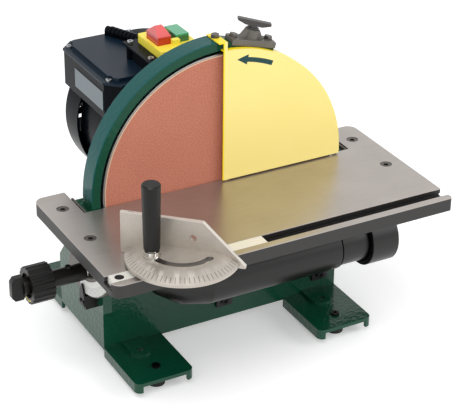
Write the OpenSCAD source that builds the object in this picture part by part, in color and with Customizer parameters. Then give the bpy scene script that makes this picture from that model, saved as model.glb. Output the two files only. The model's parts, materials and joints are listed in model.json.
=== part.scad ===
// Benchtop disc sander: cast base, half-round disc housing, motor, tilting table and mitre gauge.
// Lengths are in millimetres. Pieces are drawn with x = 0 on the disc axis, y = 0 on the abrasive
// face and z = 0 on the bench, and place() then moves the whole machine over the origin.

/* [Disc] */
// Diameter of the abrasive disc
disc_d = 305; // [300:1:306]
// Height of the disc axis above the bench
axis_h = 218; // [216:1:224]
// Thickness of the cast disc plate
plate_t = 12; // [10:0.5:13]
// Thickness of the abrasive sheet
abrasive_t = 1.5; // [1:0.1:2]

/* [Housing] */
// Running gap between the disc plate's rim and the housing ring
ring_gap = 4; // [3.5:0.5:5]
// Radial width of the housing ring
ring_w = 11.5; // [10.5:0.5:12]
// Front to back depth of the housing ring
ring_depth = 25; // [24:1:28]
// Thickness of the housing's back plate
back_t = 6; // [5:0.5:7]

/* [Base] */
// Distance of the base's sides inside the ring's outside
base_inset = 7; // [6:0.5:10]
// Thickness of the base's side and rear walls
base_wall = 6; // [5:0.5:7]
// Distance of the base's front face in front of the disc face
front_reach = 8; // [7.5:0.5:9]
// Thickness of the base's front wall
front_wall_t = 5; // [4:0.5:5.5]
// Distance of the base's rear face behind the disc face
base_rear = 120; // [112:1:130]
// Width of one foot of the base
foot_w = 76; // [66:1:84]
// Length of one foot beyond the base wall
foot_len = 90; // [84:1:96]
// Height of the feet's top face above the bench
foot_top = 22.5; // [21:0.5:26]
// Radius of the rubber feet
rubber_r = 12; // [10:0.5:14]

/* [Table] */
// Overhang of the table past each side of the base
table_side = 57; // [55:0.5:60]
// Distance of the table's front edge from the disc face
table_front = 168; // [164:1:176]
// Length of the ears beside the housing
ear_len = 56; // [50:1:60]
// Thickness of the ground plate
table_t = 9; // [8:0.5:9.5]
// Height of the table's outer edge
skirt_h = 17; // [15:0.5:19]
// Height of the disc axis above the table
table_drop = 8; // [6:0.5:10]
// Gap between table and disc face
disc_gap = 1.6; // [1.2:0.1:2]
// Width of the mitre slot
slot_w = 16; // [14:0.5:17]
// Width of the lip in front of the mitre slot
lip_w = 9.6; // [8:0.2:11]

/* [Tilt] */
// Largest tilt of the table in degrees
tilt_max = 45; // [40:1:45]
// Radius of the trunnion with the rack
trunnion_r = 100; // [97:1:101]
// Module of the tilt gear
gear_m = 1.25; // [1.25:0.05:1.25]
// Teeth of the tilt pinion
pinion_n = 12; // [12:1:12]
// Teeth of the full rack circle
rack_n = 122; // [122:1:122]
// Radius of the fluted knob
knob_r = 22.5; // [21:0.5:25]
// Length of the fluted knob
knob_len = 27.5; // [24:0.5:32]
// Length of the lock wing
wing_len = 20; // [16:1:24]

/* [Mitre gauge] */
// Length of the bar
bar_len = 190; // [180:1:200]
// Height of the fence
fence_h = 51; // [44:1:58]
// Length of the fence's foot
fence_len = 142; // [138:1:146]
// Radius of the protractor's rim
arc_r = 64; // [62:1:66]
// Turn of the fence from the slot's direction in degrees
fence_turn = 43; // [38:1:48]
// Length of the clamp handle
handle_len = 80; // [70:1:100]
// Radius of the clamp handle
handle_r = 10.7; // [10:0.1:12]

/* [Motor] */
// Radius of the motor barrel
motor_r = 90; // [86:1:91]
// Radius of the fan cover
cover_r = 98; // [96:1:101]
// Distance of the motor's rear end behind the disc face
motor_rear = 240; // [236:1:250]
// Radius of the motor shaft
shaft_r = 12; // [11:0.5:13]

/* [Dust outlet] */
// Radius of the dust chute
chute_r = 32; // [30:0.5:32.5]
// Radius of the hose collar
collar_r = 37.5; // [36:0.5:38]
// Wall of the chute and of the collar
chute_wall = 3; // [2:0.5:4]

/* [Guard and brake] */
// Radius of the disc guard
guard_r = 161; // [160:0.5:163]
// Thickness of the guard sheet
guard_t = 1.5; // [1:0.25:2]
// Length of the brake handle
brake_handle_len = 40; // [36:1:46]
// Travel of the brake pad
brake_travel = 3; // [2:0.25:3]

/* [Hidden] */
$fn = 72;
// Overrun of cuts past the faces that they cut
over = 1;
// Clearance of a fixed piece in its seat
snug = 0.05;
// Clearance of a shaft in its bearing
run_gap = 0.05;
// Clearance between pieces that pass each other
pass_gap = 0.3;
// Wide clearance round hubs and heads
loose = 2;
// Side clearance between turning and fixed pieces
side_gap = 1;
// Facets of the view of a wide rim
rim_fn = 360;
half = 1 / 2;

// Main places
table_z = axis_h - table_drop;
disc_r = disc_d / 2;
plate_lip = 2;
plate_r = disc_r + plate_lip;
plate_back = abrasive_t + plate_t;
ring_in = plate_r + ring_gap;
ring_out = ring_in + ring_w;
back_front = ring_depth - back_t;
base_half = ring_out - base_inset;
base_in = base_half - base_wall;
base_drop = 26;
base_top = table_z - base_drop;
table_half = base_half + table_side;

// Fasteners: shank and head radius, head height
m8_r = 4;
m8_head_r = 6.8;
m8_head_h = 5.5;
m6_r = 3;
m6_head_r = 5.2;
m6_head_h = 4;
m4_r = 2;
m4_head_r = 3.6;
m4_head_h = 2.6;
bolt_sink = 0.5;
pointer_screw_r = 2.5;

// Housing details
shoulder_step = 4;
shoulder_w = 32;
shoulder_out = ring_out + shoulder_step;
shoulder_in = shoulder_out - shoulder_w;
shoulder_h = 19;
shoulder_rear = 45;
skirt_gap = 13;
skirt_plate_half = base_in - skirt_gap;
hub_hole_r = 27;
housing_bolt_bite = 18;
shoulder_bolt_in = 22;
shoulder_bolt_x = shoulder_out - shoulder_bolt_in;
shoulder_bolt_y = 36;

// Base details
wall_foot_z = 19.5;
slope_rear_z = 90;
floor_t = 6;
floor_z = 50;
floor_rear = 30;
boss_r = 9;
boss_len = 12;
post_in = shoulder_in + side_gap;
post_front = 28;
post_rear = 44;
post_h = 34;
foot_plate_t = 5;
foot_skirt = 4.5;
foot_clear = 9;
foot_wrap = 9;
foot_corner_r = 8;
bench_boss_half = 13.5;
bench_boss_h = 3.5;
bench_hole_r = 5;
bench_hole_y = 26;
bench_boss_len = 40;
foot_screw_y = 64;
low_head_h = 2.8;
bench_in = 36;
bench_x = base_half - bench_in;
rubber_in = 38;
rubber_x = base_half - rubber_in;
rubber_h = foot_top - foot_plate_t;
rubber_taper = 1.5;
port_w = 44;
port_rib = 8;
port_left = -92;
port_n = 4;
port_low = 82;
port_high = 127;

// Table details
table_corner_r = 12;
table_front_right_r = 4;
skirt_w = 6;
slot_depth = 9.2;
undercut_w = 2.2;
undercut_h = 3;
slot_rear = table_front - lip_w - slot_w;
strip_w = 8;
edge_break = 0.6;
trunnion_screw_ys = [19, -58];
screw_sink_r = 7.2;
screw_sink_h = 6.2;

// Trunnions: plate beside the notch, flange under the table, guide slot round the tilt axis
support_t = 11.5;
support_out = base_half + support_t;
trunnion_gap = 1.5;
trunnion_x = support_out + trunnion_gap;
trunnion_plate_t = 12;
trunnion_out = trunnion_x + trunnion_plate_t;
flange_edge = 8;
flange_out = table_half - flange_edge;
screw_from_plate = 10;
trunnion_screw_x = trunnion_out + screw_from_plate;
flange_front = 72;
flange_rear = 40;
flange_t = 12;
rib_t = 2.2;
rib_front = 1;
rib_top_drop = 0.8;
rib_gap = 1.8;
notch_half = trunnion_x + rib_t + rib_gap;
guide_r = 42;
guide_angles = [270, 304];
guide_slot_gap = 0.1;
guide_end_angle = 7;
small_trunnion_r = 54;
sector_in = 14;
sector_start_angle = 186;
small_sector_start_angle = 212;
sector_end_angle = 325;
big_sector_end_angle = 292;
guide_head_r = 7.5;
guide_head_h = 5;
guide_washer_gap = 0.4;

// Tilt gear: the pinion runs inside the rack's slot
pinion_angle = 255;
pinion_pitch = gear_m * pinion_n / 2;
rack_pitch = gear_m * rack_n / 2;
gear_centre = rack_pitch - pinion_pitch;
addendum_share = 0.8;
dedendum_share = 1.15;
tooth_root_share = 0.3;
tooth_tip_share = 0.11;
space_mouth_share = 0.37;
space_root_share = 0.19;
rack_slot_in = gear_centre - pinion_pitch - gear_m - side_gap;
rack_end_angle = 9;
pinion_side_gap = 1;
shaft_y = gear_centre * cos(pinion_angle);
shaft_z = table_z + gear_centre * sin(pinion_angle);
tilt_shaft_r = 4.5;
shaft_inner = base_half + side_gap;
// Angle scale on the trunnion's outer face
scale_t = 1;
scale_w = 17.5;
scale_edge = 1.5;
scale_in = trunnion_r - scale_edge - scale_w;
scale_start_angle = 206;
scale_end_angle = 268;

// Trunnion supports beside the base
support_rear = 42;
support_front = 34;
block_h = 19;
block_low = table_z - trunnion_r - block_h;
block_drop = 3;
support_low = block_low - block_drop;
support_small_low = 142;
support_slope_gap = 16;
support_bolt_head_h = 6;
support_bolt_bite = 7;
support_bolt_inner = base_in - support_bolt_bite;
support_bolt_rise = 12;
support_bolt_high_rise = 28;
support_bolts_left = [
  [35, support_low + support_bolt_high_rise], [8, support_low + support_bolt_rise], [35, 150]
];
support_bolts_right = [[10, 152], [35, 152]];
block_half = 6.5;
block_y = -12.5;
block_proud = 4;
block_out = trunnion_out + block_proud;
pointer_t = 2;
pointer_low_drop = 4;
pointer_screw_dy = 3.5;

// Knob, its sleeve and the lock wing, all along the tilt shaft
sleeve_r = 10.5;
pointer_clear = 5.75;
pointer_tip_rise = trunnion_r - gear_centre - sleeve_r - pointer_clear;
sleeve_start = trunnion_out + scale_t + pass_gap + side_gap;
sleeve_len = 46;
knob_start = trunnion_out + sleeve_len;
knob_end = knob_start + knob_len;
wing_end = knob_end + wing_len;
flute_n = 18;
flute_r = 2.6;
flute_sink = 1.1;
knob_cup_r = 15;
knob_cup_h = 4;
set_screw_back = 24;
set_screw_x = knob_start - set_screw_back;
set_screw_rise = 2;
wing_stud_r = 4;
wing_stud_len = 14;
wing_hub_r = 10;
wing_hub_len = 6;
wing_half_h = 15;
wing_half_t = 4.5;
wing_tip_half_h = 10;
wing_bevel = 4;

// Mitre gauge: bar in the slot, head that swivels on it, clamp handle through the arc slot
bar_in = 4;
bar_left = bar_in - table_half;
bar_gap = 0.1;
bar_y = -(slot_rear + slot_w * half);
mitre_in = 91;
mitre_x = mitre_in - table_half;
clamp_r = 37.5;
clamp_slot_half = 4.2;
arc_swing = 67;
head_lift = 0.3;
web_top = 16;
web_t = 6;
cone_r = 47.5;
rim_top = 6.5;
rim_low = 2.8;
rim_w = 4;
pivot_hub_r = 9;
pivot_r = 4;
pivot_bite = 5;
fence_t = 5;
fence_near = -1;
fence_top_len = 94;
fence_left = fence_len * half;
fence_hole_x = 12;
fence_hole_z = 30;
fence_hole_r = 4;
fence_tip_h = 3.3;
stud_r = 4;
ferrule_r = 8.4;
ferrule_h = 6.7;
ferrule_neck_r = 6.2;
ferrule_neck_len = 1.2;
washer_r = 9.5;
washer_h = 1;
handle_neck_share = 0.86;
handle_round = 1.6;
bar_screw_x = 10;
bar_screw_r = 5.5;
bar_screw_h = 3;
tip_low_y = bar_y - (fence_len - fence_left) * sin(fence_turn) + fence_near * cos(fence_turn);

// Motor along the disc axis
flange_r = 78;
motor_flange_t = 8;
neck_r = 58;
neck_len = 20;
flare_len = 15;
flare_t = 4;
tail_len = 44;
flange_back = ring_depth + motor_flange_t;
neck_back = ring_depth + neck_len;
shell_front = neck_back + flare_len;
shell_rear = motor_rear - tail_len;
shell_t = 6;
shield_t = 11;
shield_rear = shell_rear + shield_t;
lug_half = 7;
cover_wall = 2;
cover_lap = 5;
cover_front = shield_rear - cover_lap;
lug_reach = sqrt(pow(cover_r - cover_wall - snug, 2) - pow(lug_half, 2));
vent_r = 4;
vent_pitch = 16;
vent_circles = [30, 46, 62, 78];
motor_bolt_circle = 68;
motor_bolt_head_r = 5.8;
bearing_r = 26;
bearing_w = 14;
bearing_set = 10;
rear_boss = 6;
front_bearing_y = ring_depth + bearing_set;
rear_bearing_y = shell_rear - rear_boss;
stator_in = 48.6;
stator_front = 92;
stator_rear = 168;
air_gap = 0.6;
winding_in = 54;
winding_out = 79;
winding_len = 16;
fan_set = 7;
fan_y = shield_rear + fan_set;
fan_t = 3;
fan_blade_h = 14;
fan_r = 84;
fan_hub_r = 20;
fan_n = 9;
shaft_front = 8;
shaft_tail = fan_y + fan_t + fan_blade_h + side_gap;
disc_hub_r = 24;
disc_hub_back = 33;
disc_bolt_head_r = 9;
disc_bolt_head_h = 4.5;
disc_bolt_len = 22;

// Terminal box and switch on the motor's upper left
box_left = -119;
box_right = -22;
box_front = 54;
box_rear = cover_front - pass_gap;
box_low = 286;
box_top = 330;
box_wall = 3;
lid_t = 8;
lid_flange_t = 3;
lid_panel_in = 8;
lid_top = box_top + lid_t;
lid_corner = 16;
lid_screw_in = 7;
saddle_gap = 0.3;
plate_thick = 0.8;
rating_y = [72, 152];
rating_z = [296, 320];
cap_r = 16;
cap_x = -96;
cap_y = [78, 138];
switch_left = -72;
switch_right = 0;
switch_front = 38;
switch_rear = 118;
switch_h = 20;
switch_top = lid_top + switch_h;
switch_wall = 3;
switch_flange_t = 3;
switch_screw_x = -65;
switch_screw_ys = [54, 110];
face_left = -56;
face_right = -3;
face_front = 44;
face_rear = 110;
face_t = 10;
face_top = switch_top + face_t;
face_corner_r = 4;
button_len = 31;
stop_w = 18;
start_w = 17;
stop_x = -42;
start_x = -18.5;
button_y = 79.5;
button_rise = 9.5;
stop_cap_h = 9.5;
stop_ridge_shares = [0.5, 0.12];
button_stem_w = 10;
button_travel = 3;
button_gap = 0.4;
latch_w = 9;
latch_len = 7;
latch_h = 7;
lead_x = -58;
lead_back = 11;
lead_rear = box_rear - lead_back;
lead_turn = 24;
lead_len = 84;
lead_r = 5;
lead_rib_n = 10;
lead_rib_h = 1;
lead_rib_start = 4;
lead_rib_step = 6;
lead_block = 12;

// Dust chute in front of the base
chute_y = -38;
chute_drop = 105.4;
chute_z = table_z - chute_drop;
chute_left = -45;
chute_end_in = 29;
chute_end = base_half - chute_end_in;
// Radius that just touches the base's front face
front_gap_r = -chute_y - front_reach;
// Slices of the chute's rounded left end: place along x, radius, y, and rise
horn_slices = [[-78, 27, -33, 0], [-104, 16, -24, 4], [-112, 7, -17, 6]];
slice_t = 1;
outlet_mid_r = front_gap_r - pass_gap;
outlet_mid_len = 41.5;
collar_start = chute_end + outlet_mid_len;
collar_len = 37.5;
collar_end = collar_start + collar_len;
outlet_lap = 14;
seam_w = 1.5;
seam_sink = 1.5;
tab_half = 11;
tab_t = 4;
tab_low = 38;
tab_screw_z = 46;
tab_past = 4;
tab_xs = [0, chute_end + tab_past];

// Disc guard and brake on the ring, set by their angle on the ring
guard_gap = 6.5;
guard_left = -2;
guard_lift = 2;
guard_seat = 0.3;
guard_tab_left = -8;
guard_tab_right = 3;
guard_tab_rear = 24;
guard_rim_rear = 6;
guard_side_half = 7;
guard_side_angle = 8;
guard_side_bite = 8;
guard_side_y = ring_depth - back_t * half;
// Radius of the back plate where the guard and not the ring goes round it
bare_back_r = guard_r - guard_t - guard_seat;
guard_bolt_y = 12;
guard_bolt_x = -3;
bolt_bite = 8;
brake_angle = 75.5;
brake_y = 9;
brake_pad_half = 14;
brake_pad_wide = 4.5;
brake_window_gap = 1.5;
brake_window_half = brake_pad_half + brake_window_gap;
brake_window_wide = brake_pad_wide + brake_window_gap;
brake_seat_drop = 6;
brake_base_half = 30;
brake_base_wide = 11;
brake_base_t = 5;
brake_base_corner = 5;
brake_bolt_x = 24;
brake_gusset_half = 16;
brake_top_half = 7.5;
brake_gusset_h = 11;
brake_gusset_wide = 4;
brake_tower_r = 9;
brake_rod_r = 5;
brake_collar_r = 7;
brake_collar_in = 1;
brake_collar_h = 3;
brake_pocket_r = 7.4;
brake_pocket_floor = 6;
brake_spring_r = 6.9;
brake_spring_t = 1.5;
brake_neck_len = 4.5;
brake_handle_t = 6;
brake_handle_half_w = 5;
brake_tip_share = 0.55;
brake_twist = 25;
brake_shoe_t = 3;
brake_lining_t = 2.2;
brake_clear = brake_travel + pass_gap;

// Height along a ring radius of the brake's pieces
brake_base_r = ring_out - brake_seat_drop;
ring_end_angle = brake_angle - asin(brake_base_half / brake_base_r);
brake_base_top = brake_base_r + brake_base_t;
brake_top = brake_base_top + brake_gusset_h;
brake_neck_top = brake_top + brake_neck_len;
brake_spring_low = brake_base_r + brake_pocket_floor;
brake_spring_top = brake_top - brake_collar_in - pass_gap;
lining_in = plate_r + brake_clear;
lining_out = lining_in + brake_lining_t;

// Middle of the whole machine, which place() brings to the origin
mid_x = (table_half - wing_end) * half;
front_y = min(tip_low_y, bar_y - arc_r);
mid_y = (motor_rear + front_y) * half;

green = [0.05, 0.27, 0.17];
iron = [0.66, 0.63, 0.59];
steel = [0.72, 0.72, 0.72];
black = [0.1, 0.1, 0.11];
motor_black = [0.13, 0.16, 0.19];
alloy = [0.76, 0.74, 0.7];
yellow = [0.98, 0.9, 0.35];

// Shared shapes

// Moves the machine so that its box stands centred on the origin
module place() {
  translate([-mid_x, -mid_y, 0]) children();
}

// Brings the disc axis to the height of the machine's axis
module at_axis() {
  translate([0, 0, axis_h]) children();
}

// Turns a piece so that its z runs outwards along the ring at an angle from the right
module at_ring(angle) {
  at_axis() rotate([0, 90 - angle, 0]) children();
}

// Brings the tilt axis, along the table's top edge at the disc face, to its height
module at_tilt() {
  translate([0, 0, table_z]) children();
}

module rod_x(r, x0, x1) {
  translate([x0, 0, 0]) rotate([0, 90, 0]) cylinder(r = r, h = x1 - x0);
}

module rod_y(r, y0, y1) {
  translate([0, y0, 0]) rotate([-90, 0, 0]) cylinder(r = r, h = y1 - y0);
}

module rod_z(r, z0, z1) {
  translate([0, 0, z0]) cylinder(r = r, h = z1 - z0);
}

module block(low, high) {
  translate(low) cube(high - low);
}

// Solid of revolution about y, from an outline of radius and y
module turned_y() {
  rotate([-90, 0, 0]) rotate_extrude() children();
}

// Outline in y and z, pulled along x
module along_x(x0, x1) {
  translate([x0, 0, 0]) rotate([90, 0, 90]) linear_extrude(x1 - x0) children();
}

// Outline in x and z, pulled along y
module along_y(y0, y1) {
  translate([0, y1, 0]) rotate([90, 0, 0]) linear_extrude(y1 - y0) children();
}

// Part of a flat ring about x, with angles from y towards z
module ring_part_x(r0, r1, x0, x1, a0, a1) {
  translate([x0, 0, 0]) rotate([90, 0, 90]) rotate([0, 0, a0])
    rotate_extrude(angle = a1 - a0) translate([r0, 0]) square([r1 - r0, x1 - x0]);
}

module both_sides() {
  children();
  mirror([1, 0, 0]) children();
}

// Rectangle with a radius for each corner, in the order left front, right front, right rear, left rear
module round_corners(low, high, radii) {
  corners = [low, [high[0], low[1]], high, [low[0], high[1]]];
  difference() {
    translate(low) square(high - low);
    for (i = [0:len(corners) - 1]) translate(corners[i]) rotate(90 * i) difference() {
      translate([-over, -over]) square(radii[i] + over);
      translate([radii[i], radii[i]]) circle(radii[i]);
    }
  }
}

// Screw with its head's underside at the origin and its shank downwards, with a hexagon socket
module socket_screw(r, head_r, head_h, len) {
  difference() {
    union() {
      rod_z(head_r, 0, head_h);
      rod_z(r, -len, 0);
    }
    translate([0, 0, head_h * half]) cylinder(r = head_r * half, h = head_h, $fn = 6);
  }
}

// Screw with a hexagon head on a washer
module hex_screw(r, head_r, head_h, len) {
  washer_share = 0.25;
  cylinder(r = head_r, h = head_h, $fn = 6);
  rod_z(head_r, 0, head_h * washer_share);
  rod_z(r, -len, 0);
}

// Base

module foot_plan() {
  round_corners([base_half - foot_w, -front_reach - foot_len], [base_half, -front_reach + over],
    [foot_corner_r, foot_corner_r, edge_break, edge_break]);
}

// One front foot on the right: top plate, side skirts that wrap the front corners, bench bolt boss
module foot() {
  under = foot_top - foot_plate_t;
  inner = base_half - foot_w;
  front = -front_reach - foot_len;
  difference() {
    union() {
      translate([0, 0, foot_clear]) linear_extrude(foot_top - foot_clear) foot_plan();
      translate([0, 0, under]) linear_extrude(foot_plate_t + bench_boss_h)
        round_corners([bench_x - bench_boss_half, -front_reach - bench_boss_len],
          [bench_x + bench_boss_half, -front_reach + over],
          [bench_boss_half, bench_boss_half, edge_break, edge_break]);
    }
    block([inner + foot_skirt, front + foot_skirt, 0], [base_half - foot_skirt, over, under]);
    block([inner + foot_wrap, front - over, 0],
      [base_half - foot_wrap, front + foot_len * half, under]);
    translate([bench_x, -front_reach - bench_hole_y, 0])
      rod_z(bench_hole_r, 0, foot_top + bench_boss_h + over);
    translate([rubber_x, -front_reach - foot_screw_y, 0]) rod_z(m6_r + snug, 0, foot_top + over);
  }
}

// Four copies: the feet of the front and, turned about the base's middle, those of the rear
module four_feet() {
  for (turn = [0, 1]) translate([0, turn * (base_rear - front_reach), 0]) mirror([0, turn, 0])
    both_sides() children();
}

module side_wall() {
  along_x(base_in, base_half) polygon([
    [-front_reach, wall_foot_z], [-front_reach, base_top], [shoulder_rear, base_top],
    [base_rear, slope_rear_z], [base_rear, wall_foot_z]
  ]);
}

// Ports in the front wall, behind the chute
module dust_ports() {
  for (i = [0:port_n - 1]) translate([port_left + i * (port_w + port_rib), 0, 0]) children();
}

module base_casting() {
  color(green) place() difference() {
    union() {
      four_feet() foot();
      both_sides() {
        side_wall();
        block([post_in, post_front, base_top - post_h], [base_in + over, post_rear, base_top]);
      }
      block([-base_half, -front_reach, wall_foot_z], [base_half, front_wall_t - front_reach, base_top]);
      block([-base_half, base_rear - base_wall, wall_foot_z], [base_half, base_rear, slope_rear_z]);
      block([-base_in - over, -front_reach + over, floor_z],
        [base_in + over, floor_rear, floor_z + floor_t]);
      for (p = support_bolts_left) translate([0, p[0], p[1]])
        rod_x(boss_r, -base_in - over, boss_len - base_in);
      for (p = support_bolts_right) translate([0, p[0], p[1]])
        rod_x(boss_r, base_in - boss_len, base_in + over);
    }
    dust_ports() block([0, -front_reach - over, port_low], [port_w, 0, port_high]);
    both_sides() translate([shoulder_bolt_x, shoulder_bolt_y, 0])
      rod_z(m8_r + snug, base_top - housing_bolt_bite - over, base_top + over);
    for (p = support_bolts_left) translate([0, p[0], p[1]])
      rod_x(m8_r + snug, -base_half - over, -support_bolt_inner + over);
    for (p = support_bolts_right) translate([0, p[0], p[1]])
      rod_x(m8_r + snug, support_bolt_inner - over, base_half + over);
    for (x = tab_xs) translate([x, 0, tab_screw_z]) rod_y(m6_r + snug, -front_reach - over, 0);
  }
}

module rubber_feet() {
  color(black) place() four_feet() translate([rubber_x, -front_reach - foot_screw_y, 0]) difference() {
    cylinder(r1 = rubber_r - rubber_taper, r2 = rubber_r, h = rubber_h);
    rod_z(m6_r + snug, rubber_h * half, rubber_h + over);
  }
}

module foot_screws() {
  color(steel) place() four_feet() translate([rubber_x, -front_reach - foot_screw_y, foot_top])
    socket_screw(m6_r, m6_head_r, low_head_h, foot_top - rubber_h * half);
}

// Disc housing

// Half-round ring over the base's top, which ends under the brake where the guard takes its place
module ring_body() {
  far = ring_out * 2;
  at_axis() difference() {
    rod_y(ring_out, 0, ring_depth);
    rod_y(ring_in, -over, back_front);
    difference() {
      along_y(-over, ring_depth + over) polygon([
        [0, 0], [0, -table_drop], [far, -table_drop], [far, far * sin(ring_end_angle)],
        [far * cos(ring_end_angle), far * sin(ring_end_angle)]
      ]);
      rod_y(bare_back_r, back_front, ring_depth + far);
    }
    block([-far, -over, -far], [far, shoulder_rear, base_top - axis_h]);
  }
  both_sides() block([shoulder_in, 0, base_top], [shoulder_out, shoulder_rear, base_top + shoulder_h]);
  block([-skirt_plate_half, back_front, floor_z + floor_t],
    [skirt_plate_half, ring_depth, base_top + over]);
}

// Blind hole for a bolt in the ring
module ring_hole(x, y, seat_r) {
  translate([x, y, 0]) rod_z(m6_r + snug, seat_r - bolt_bite, seat_r + over);
}

// Turns to the place of the guard's bolt beside the back plate
module at_guard_side() {
  at_ring(guard_side_angle) translate([0, guard_side_y, 0]) children();
}

module disc_housing() {
  color(green) place() difference() {
    ring_body();
    at_axis() {
      rod_y(ring_in, -over, back_front);
      rod_y(hub_hole_r, 0, ring_depth + over);
      for (a = [45:90:315]) rotate([0, a, 0]) translate([0, 0, motor_bolt_circle])
        rod_y(m8_r + snug, back_front - over, ring_depth + over);
    }
    both_sides() translate([shoulder_bolt_x, shoulder_bolt_y, 0])
      rod_z(m8_r + snug, base_top - over, base_top + shoulder_h + over);
    at_ring(brake_angle) {
      block([-brake_window_half, brake_y - brake_window_wide, ring_in - loose],
        [brake_window_half, brake_y + brake_window_wide, ring_out + over]);
      block([-ring_out * half, -over, brake_base_r], [ring_out * half, ring_depth + over, brake_top]);
      for (side = [-1, 1]) ring_hole(side * brake_bolt_x, brake_y, brake_base_r);
    }
    at_ring(90) ring_hole(guard_bolt_x, guard_bolt_y, ring_out);
    at_guard_side() rod_z(m4_r + snug, bare_back_r - guard_side_bite, guard_r);
  }
}

module housing_bolts() {
  color(steel) place() both_sides() translate([shoulder_bolt_x, shoulder_bolt_y, base_top + shoulder_h])
    hex_screw(m8_r, m8_head_r, m8_head_h, shoulder_h + housing_bolt_bite);
}

// Motor

module drive_end_shield() {
  color(motor_black) place() at_axis() difference() {
    turned_y() polygon([
      [shaft_r + loose, ring_depth], [flange_r, ring_depth], [flange_r, flange_back],
      [neck_r, flange_back], [neck_r, neck_back],
      [motor_r, shell_front - flare_t], [motor_r, shell_front],
      [motor_r - shell_t, shell_front], [neck_r - shell_t, neck_back + shell_t],
      [shaft_r + loose, neck_back + shell_t]
    ]);
    rod_y(bearing_r + snug, front_bearing_y, neck_back + shell_t + over);
    rod_y(disc_hub_r + loose, ring_depth - over, disc_hub_back + over);
    for (a = [45:90:315]) rotate([0, a, 0]) translate([0, 0, motor_bolt_circle])
      rod_y(m8_r + snug, ring_depth - over, flange_back + over);
  }
}

module motor_bolts() {
  color(steel) place() at_axis() for (a = [45:90:315]) rotate([0, a, 0])
    translate([0, flange_back, motor_bolt_circle]) rotate([-90, 0, 0])
      hex_screw(m8_r, motor_bolt_head_r, m8_head_h, flange_back - back_front);
}

module motor_shell() {
  color(motor_black) place() at_axis() difference() {
    rod_y(motor_r, shell_front, shell_rear);
    rod_y(motor_r - shell_t, shell_front - over, shell_rear + over);
  }
}

module rear_shield() {
  color(motor_black) place() at_axis() difference() {
    union() {
      rod_y(motor_r, shell_rear, shield_rear);
      rod_y(bearing_r + shell_t, rear_bearing_y, shield_rear);
      for (a = [0:90:270]) rotate([0, a, 0])
        block([-lug_half, shell_rear, 0], [lug_half, shield_rear, lug_reach]);
    }
    rod_y(bearing_r + snug, rear_bearing_y - over, rear_bearing_y + bearing_w);
    rod_y(shaft_r + loose, rear_bearing_y, shield_rear + over);
  }
}

module fan_cover() {
  color(motor_black) place() at_axis() difference() {
    turned_y() polygon([
      [0, motor_rear - cover_wall], [cover_r - cover_wall * 2, motor_rear - cover_wall],
      [cover_r - cover_wall, motor_rear - cover_wall * 2], [cover_r - cover_wall, cover_front],
      [cover_r, cover_front], [cover_r, motor_rear - cover_wall], [cover_r - cover_wall, motor_rear],
      [0, motor_rear]
    ]);
    for (c = vent_circles) {
      holes = floor(2 * PI * c / vent_pitch);
      for (i = [0:holes - 1]) rotate([0, i * 360 / holes, 0]) translate([0, 0, c])
        rod_y(vent_r, motor_rear - cover_wall - over, motor_rear + over);
    }
  }
}

module stator_core() {
  color(steel) place() at_axis() difference() {
    rod_y(motor_r - shell_t - snug, stator_front, stator_rear);
    rod_y(stator_in, stator_front - over, stator_rear + over);
  }
}

module stator_windings() {
  color([0.7, 0.36, 0.16]) place() at_axis()
    for (y = [stator_front - winding_len, stator_rear]) difference() {
      rod_y(winding_out, y, y + winding_len);
      rod_y(winding_in, y - over, y + winding_len + over);
    }
}

module motor_bearings() {
  color(steel) place() at_axis() for (y = [front_bearing_y, rear_bearing_y]) difference() {
    rod_y(bearing_r, y, y + bearing_w);
    rod_y(shaft_r + run_gap, y - over, y + bearing_w + over);
  }
}

module motor_shaft() {
  color(steel) place() at_axis() difference() {
    rod_y(shaft_r, shaft_front, shaft_tail);
    rod_y(m8_r + snug, shaft_front - over, disc_bolt_len + over);
  }
}

module rotor_core() {
  color(iron) place() at_axis() difference() {
    rod_y(stator_in - air_gap, stator_front, stator_rear);
    rod_y(shaft_r + snug, stator_front - over, stator_rear + over);
  }
}

module cooling_fan() {
  blade_t = 2.5;
  color(black) place() at_axis() difference() {
    union() {
      rod_y(fan_r, fan_y, fan_y + fan_t);
      rod_y(fan_hub_r, fan_y, fan_y + fan_t + fan_blade_h);
      for (i = [0:fan_n - 1]) rotate([0, i * 360 / fan_n, 0])
        block([-blade_t * half, fan_y, fan_hub_r - over],
          [blade_t * half, fan_y + fan_t + fan_blade_h, fan_r]);
    }
    rod_y(shaft_r + snug, fan_y - over, fan_y + fan_t + fan_blade_h + over);
  }
}

// Disc

module abrasive_disc() {
  color([0.72, 0.4, 0.3]) place() at_axis() rod_y(disc_r, 0, abrasive_t);
}

module disc_plate() {
  color(steel) place() at_axis() difference() {
    union() {
      rod_y(plate_r, abrasive_t, plate_back);
      rod_y(disc_hub_r, abrasive_t, disc_hub_back);
    }
    rod_y(shaft_r + snug, shaft_front, disc_hub_back + over);
    rod_y(m8_r + snug, 0, disc_hub_back);
    rod_y(disc_bolt_head_r + over, 0, abrasive_t + disc_bolt_head_h);
  }
}

module disc_bolt() {
  color(steel) place() at_axis() {
    rod_y(disc_bolt_head_r, abrasive_t, abrasive_t + disc_bolt_head_h);
    rod_y(m8_r, abrasive_t, disc_bolt_len);
  }
}

// Terminal box and switch

// Box outline with a cut left rear and left front corner
module box_plan(grow) {
  polygon([
    [box_left - grow, box_front + lid_corner], [box_left + lid_corner, box_front - grow],
    [box_right + grow, box_front - grow], [box_right + grow, box_rear + grow],
    [box_left + lid_corner, box_rear + grow], [box_left - grow, box_rear - lid_corner]
  ]);
}

module lid_screw_spots() {
  for (p = [
    [box_left + lid_screw_in, box_front + lid_corner + side_gap],
    [box_right - lid_screw_in, box_front + lid_screw_in],
    [box_right - lid_screw_in, box_rear - lid_screw_in],
    [box_left + lid_screw_in, box_rear - lid_corner - side_gap]
  ]) translate([p[0], p[1], 0]) children();
}

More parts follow.
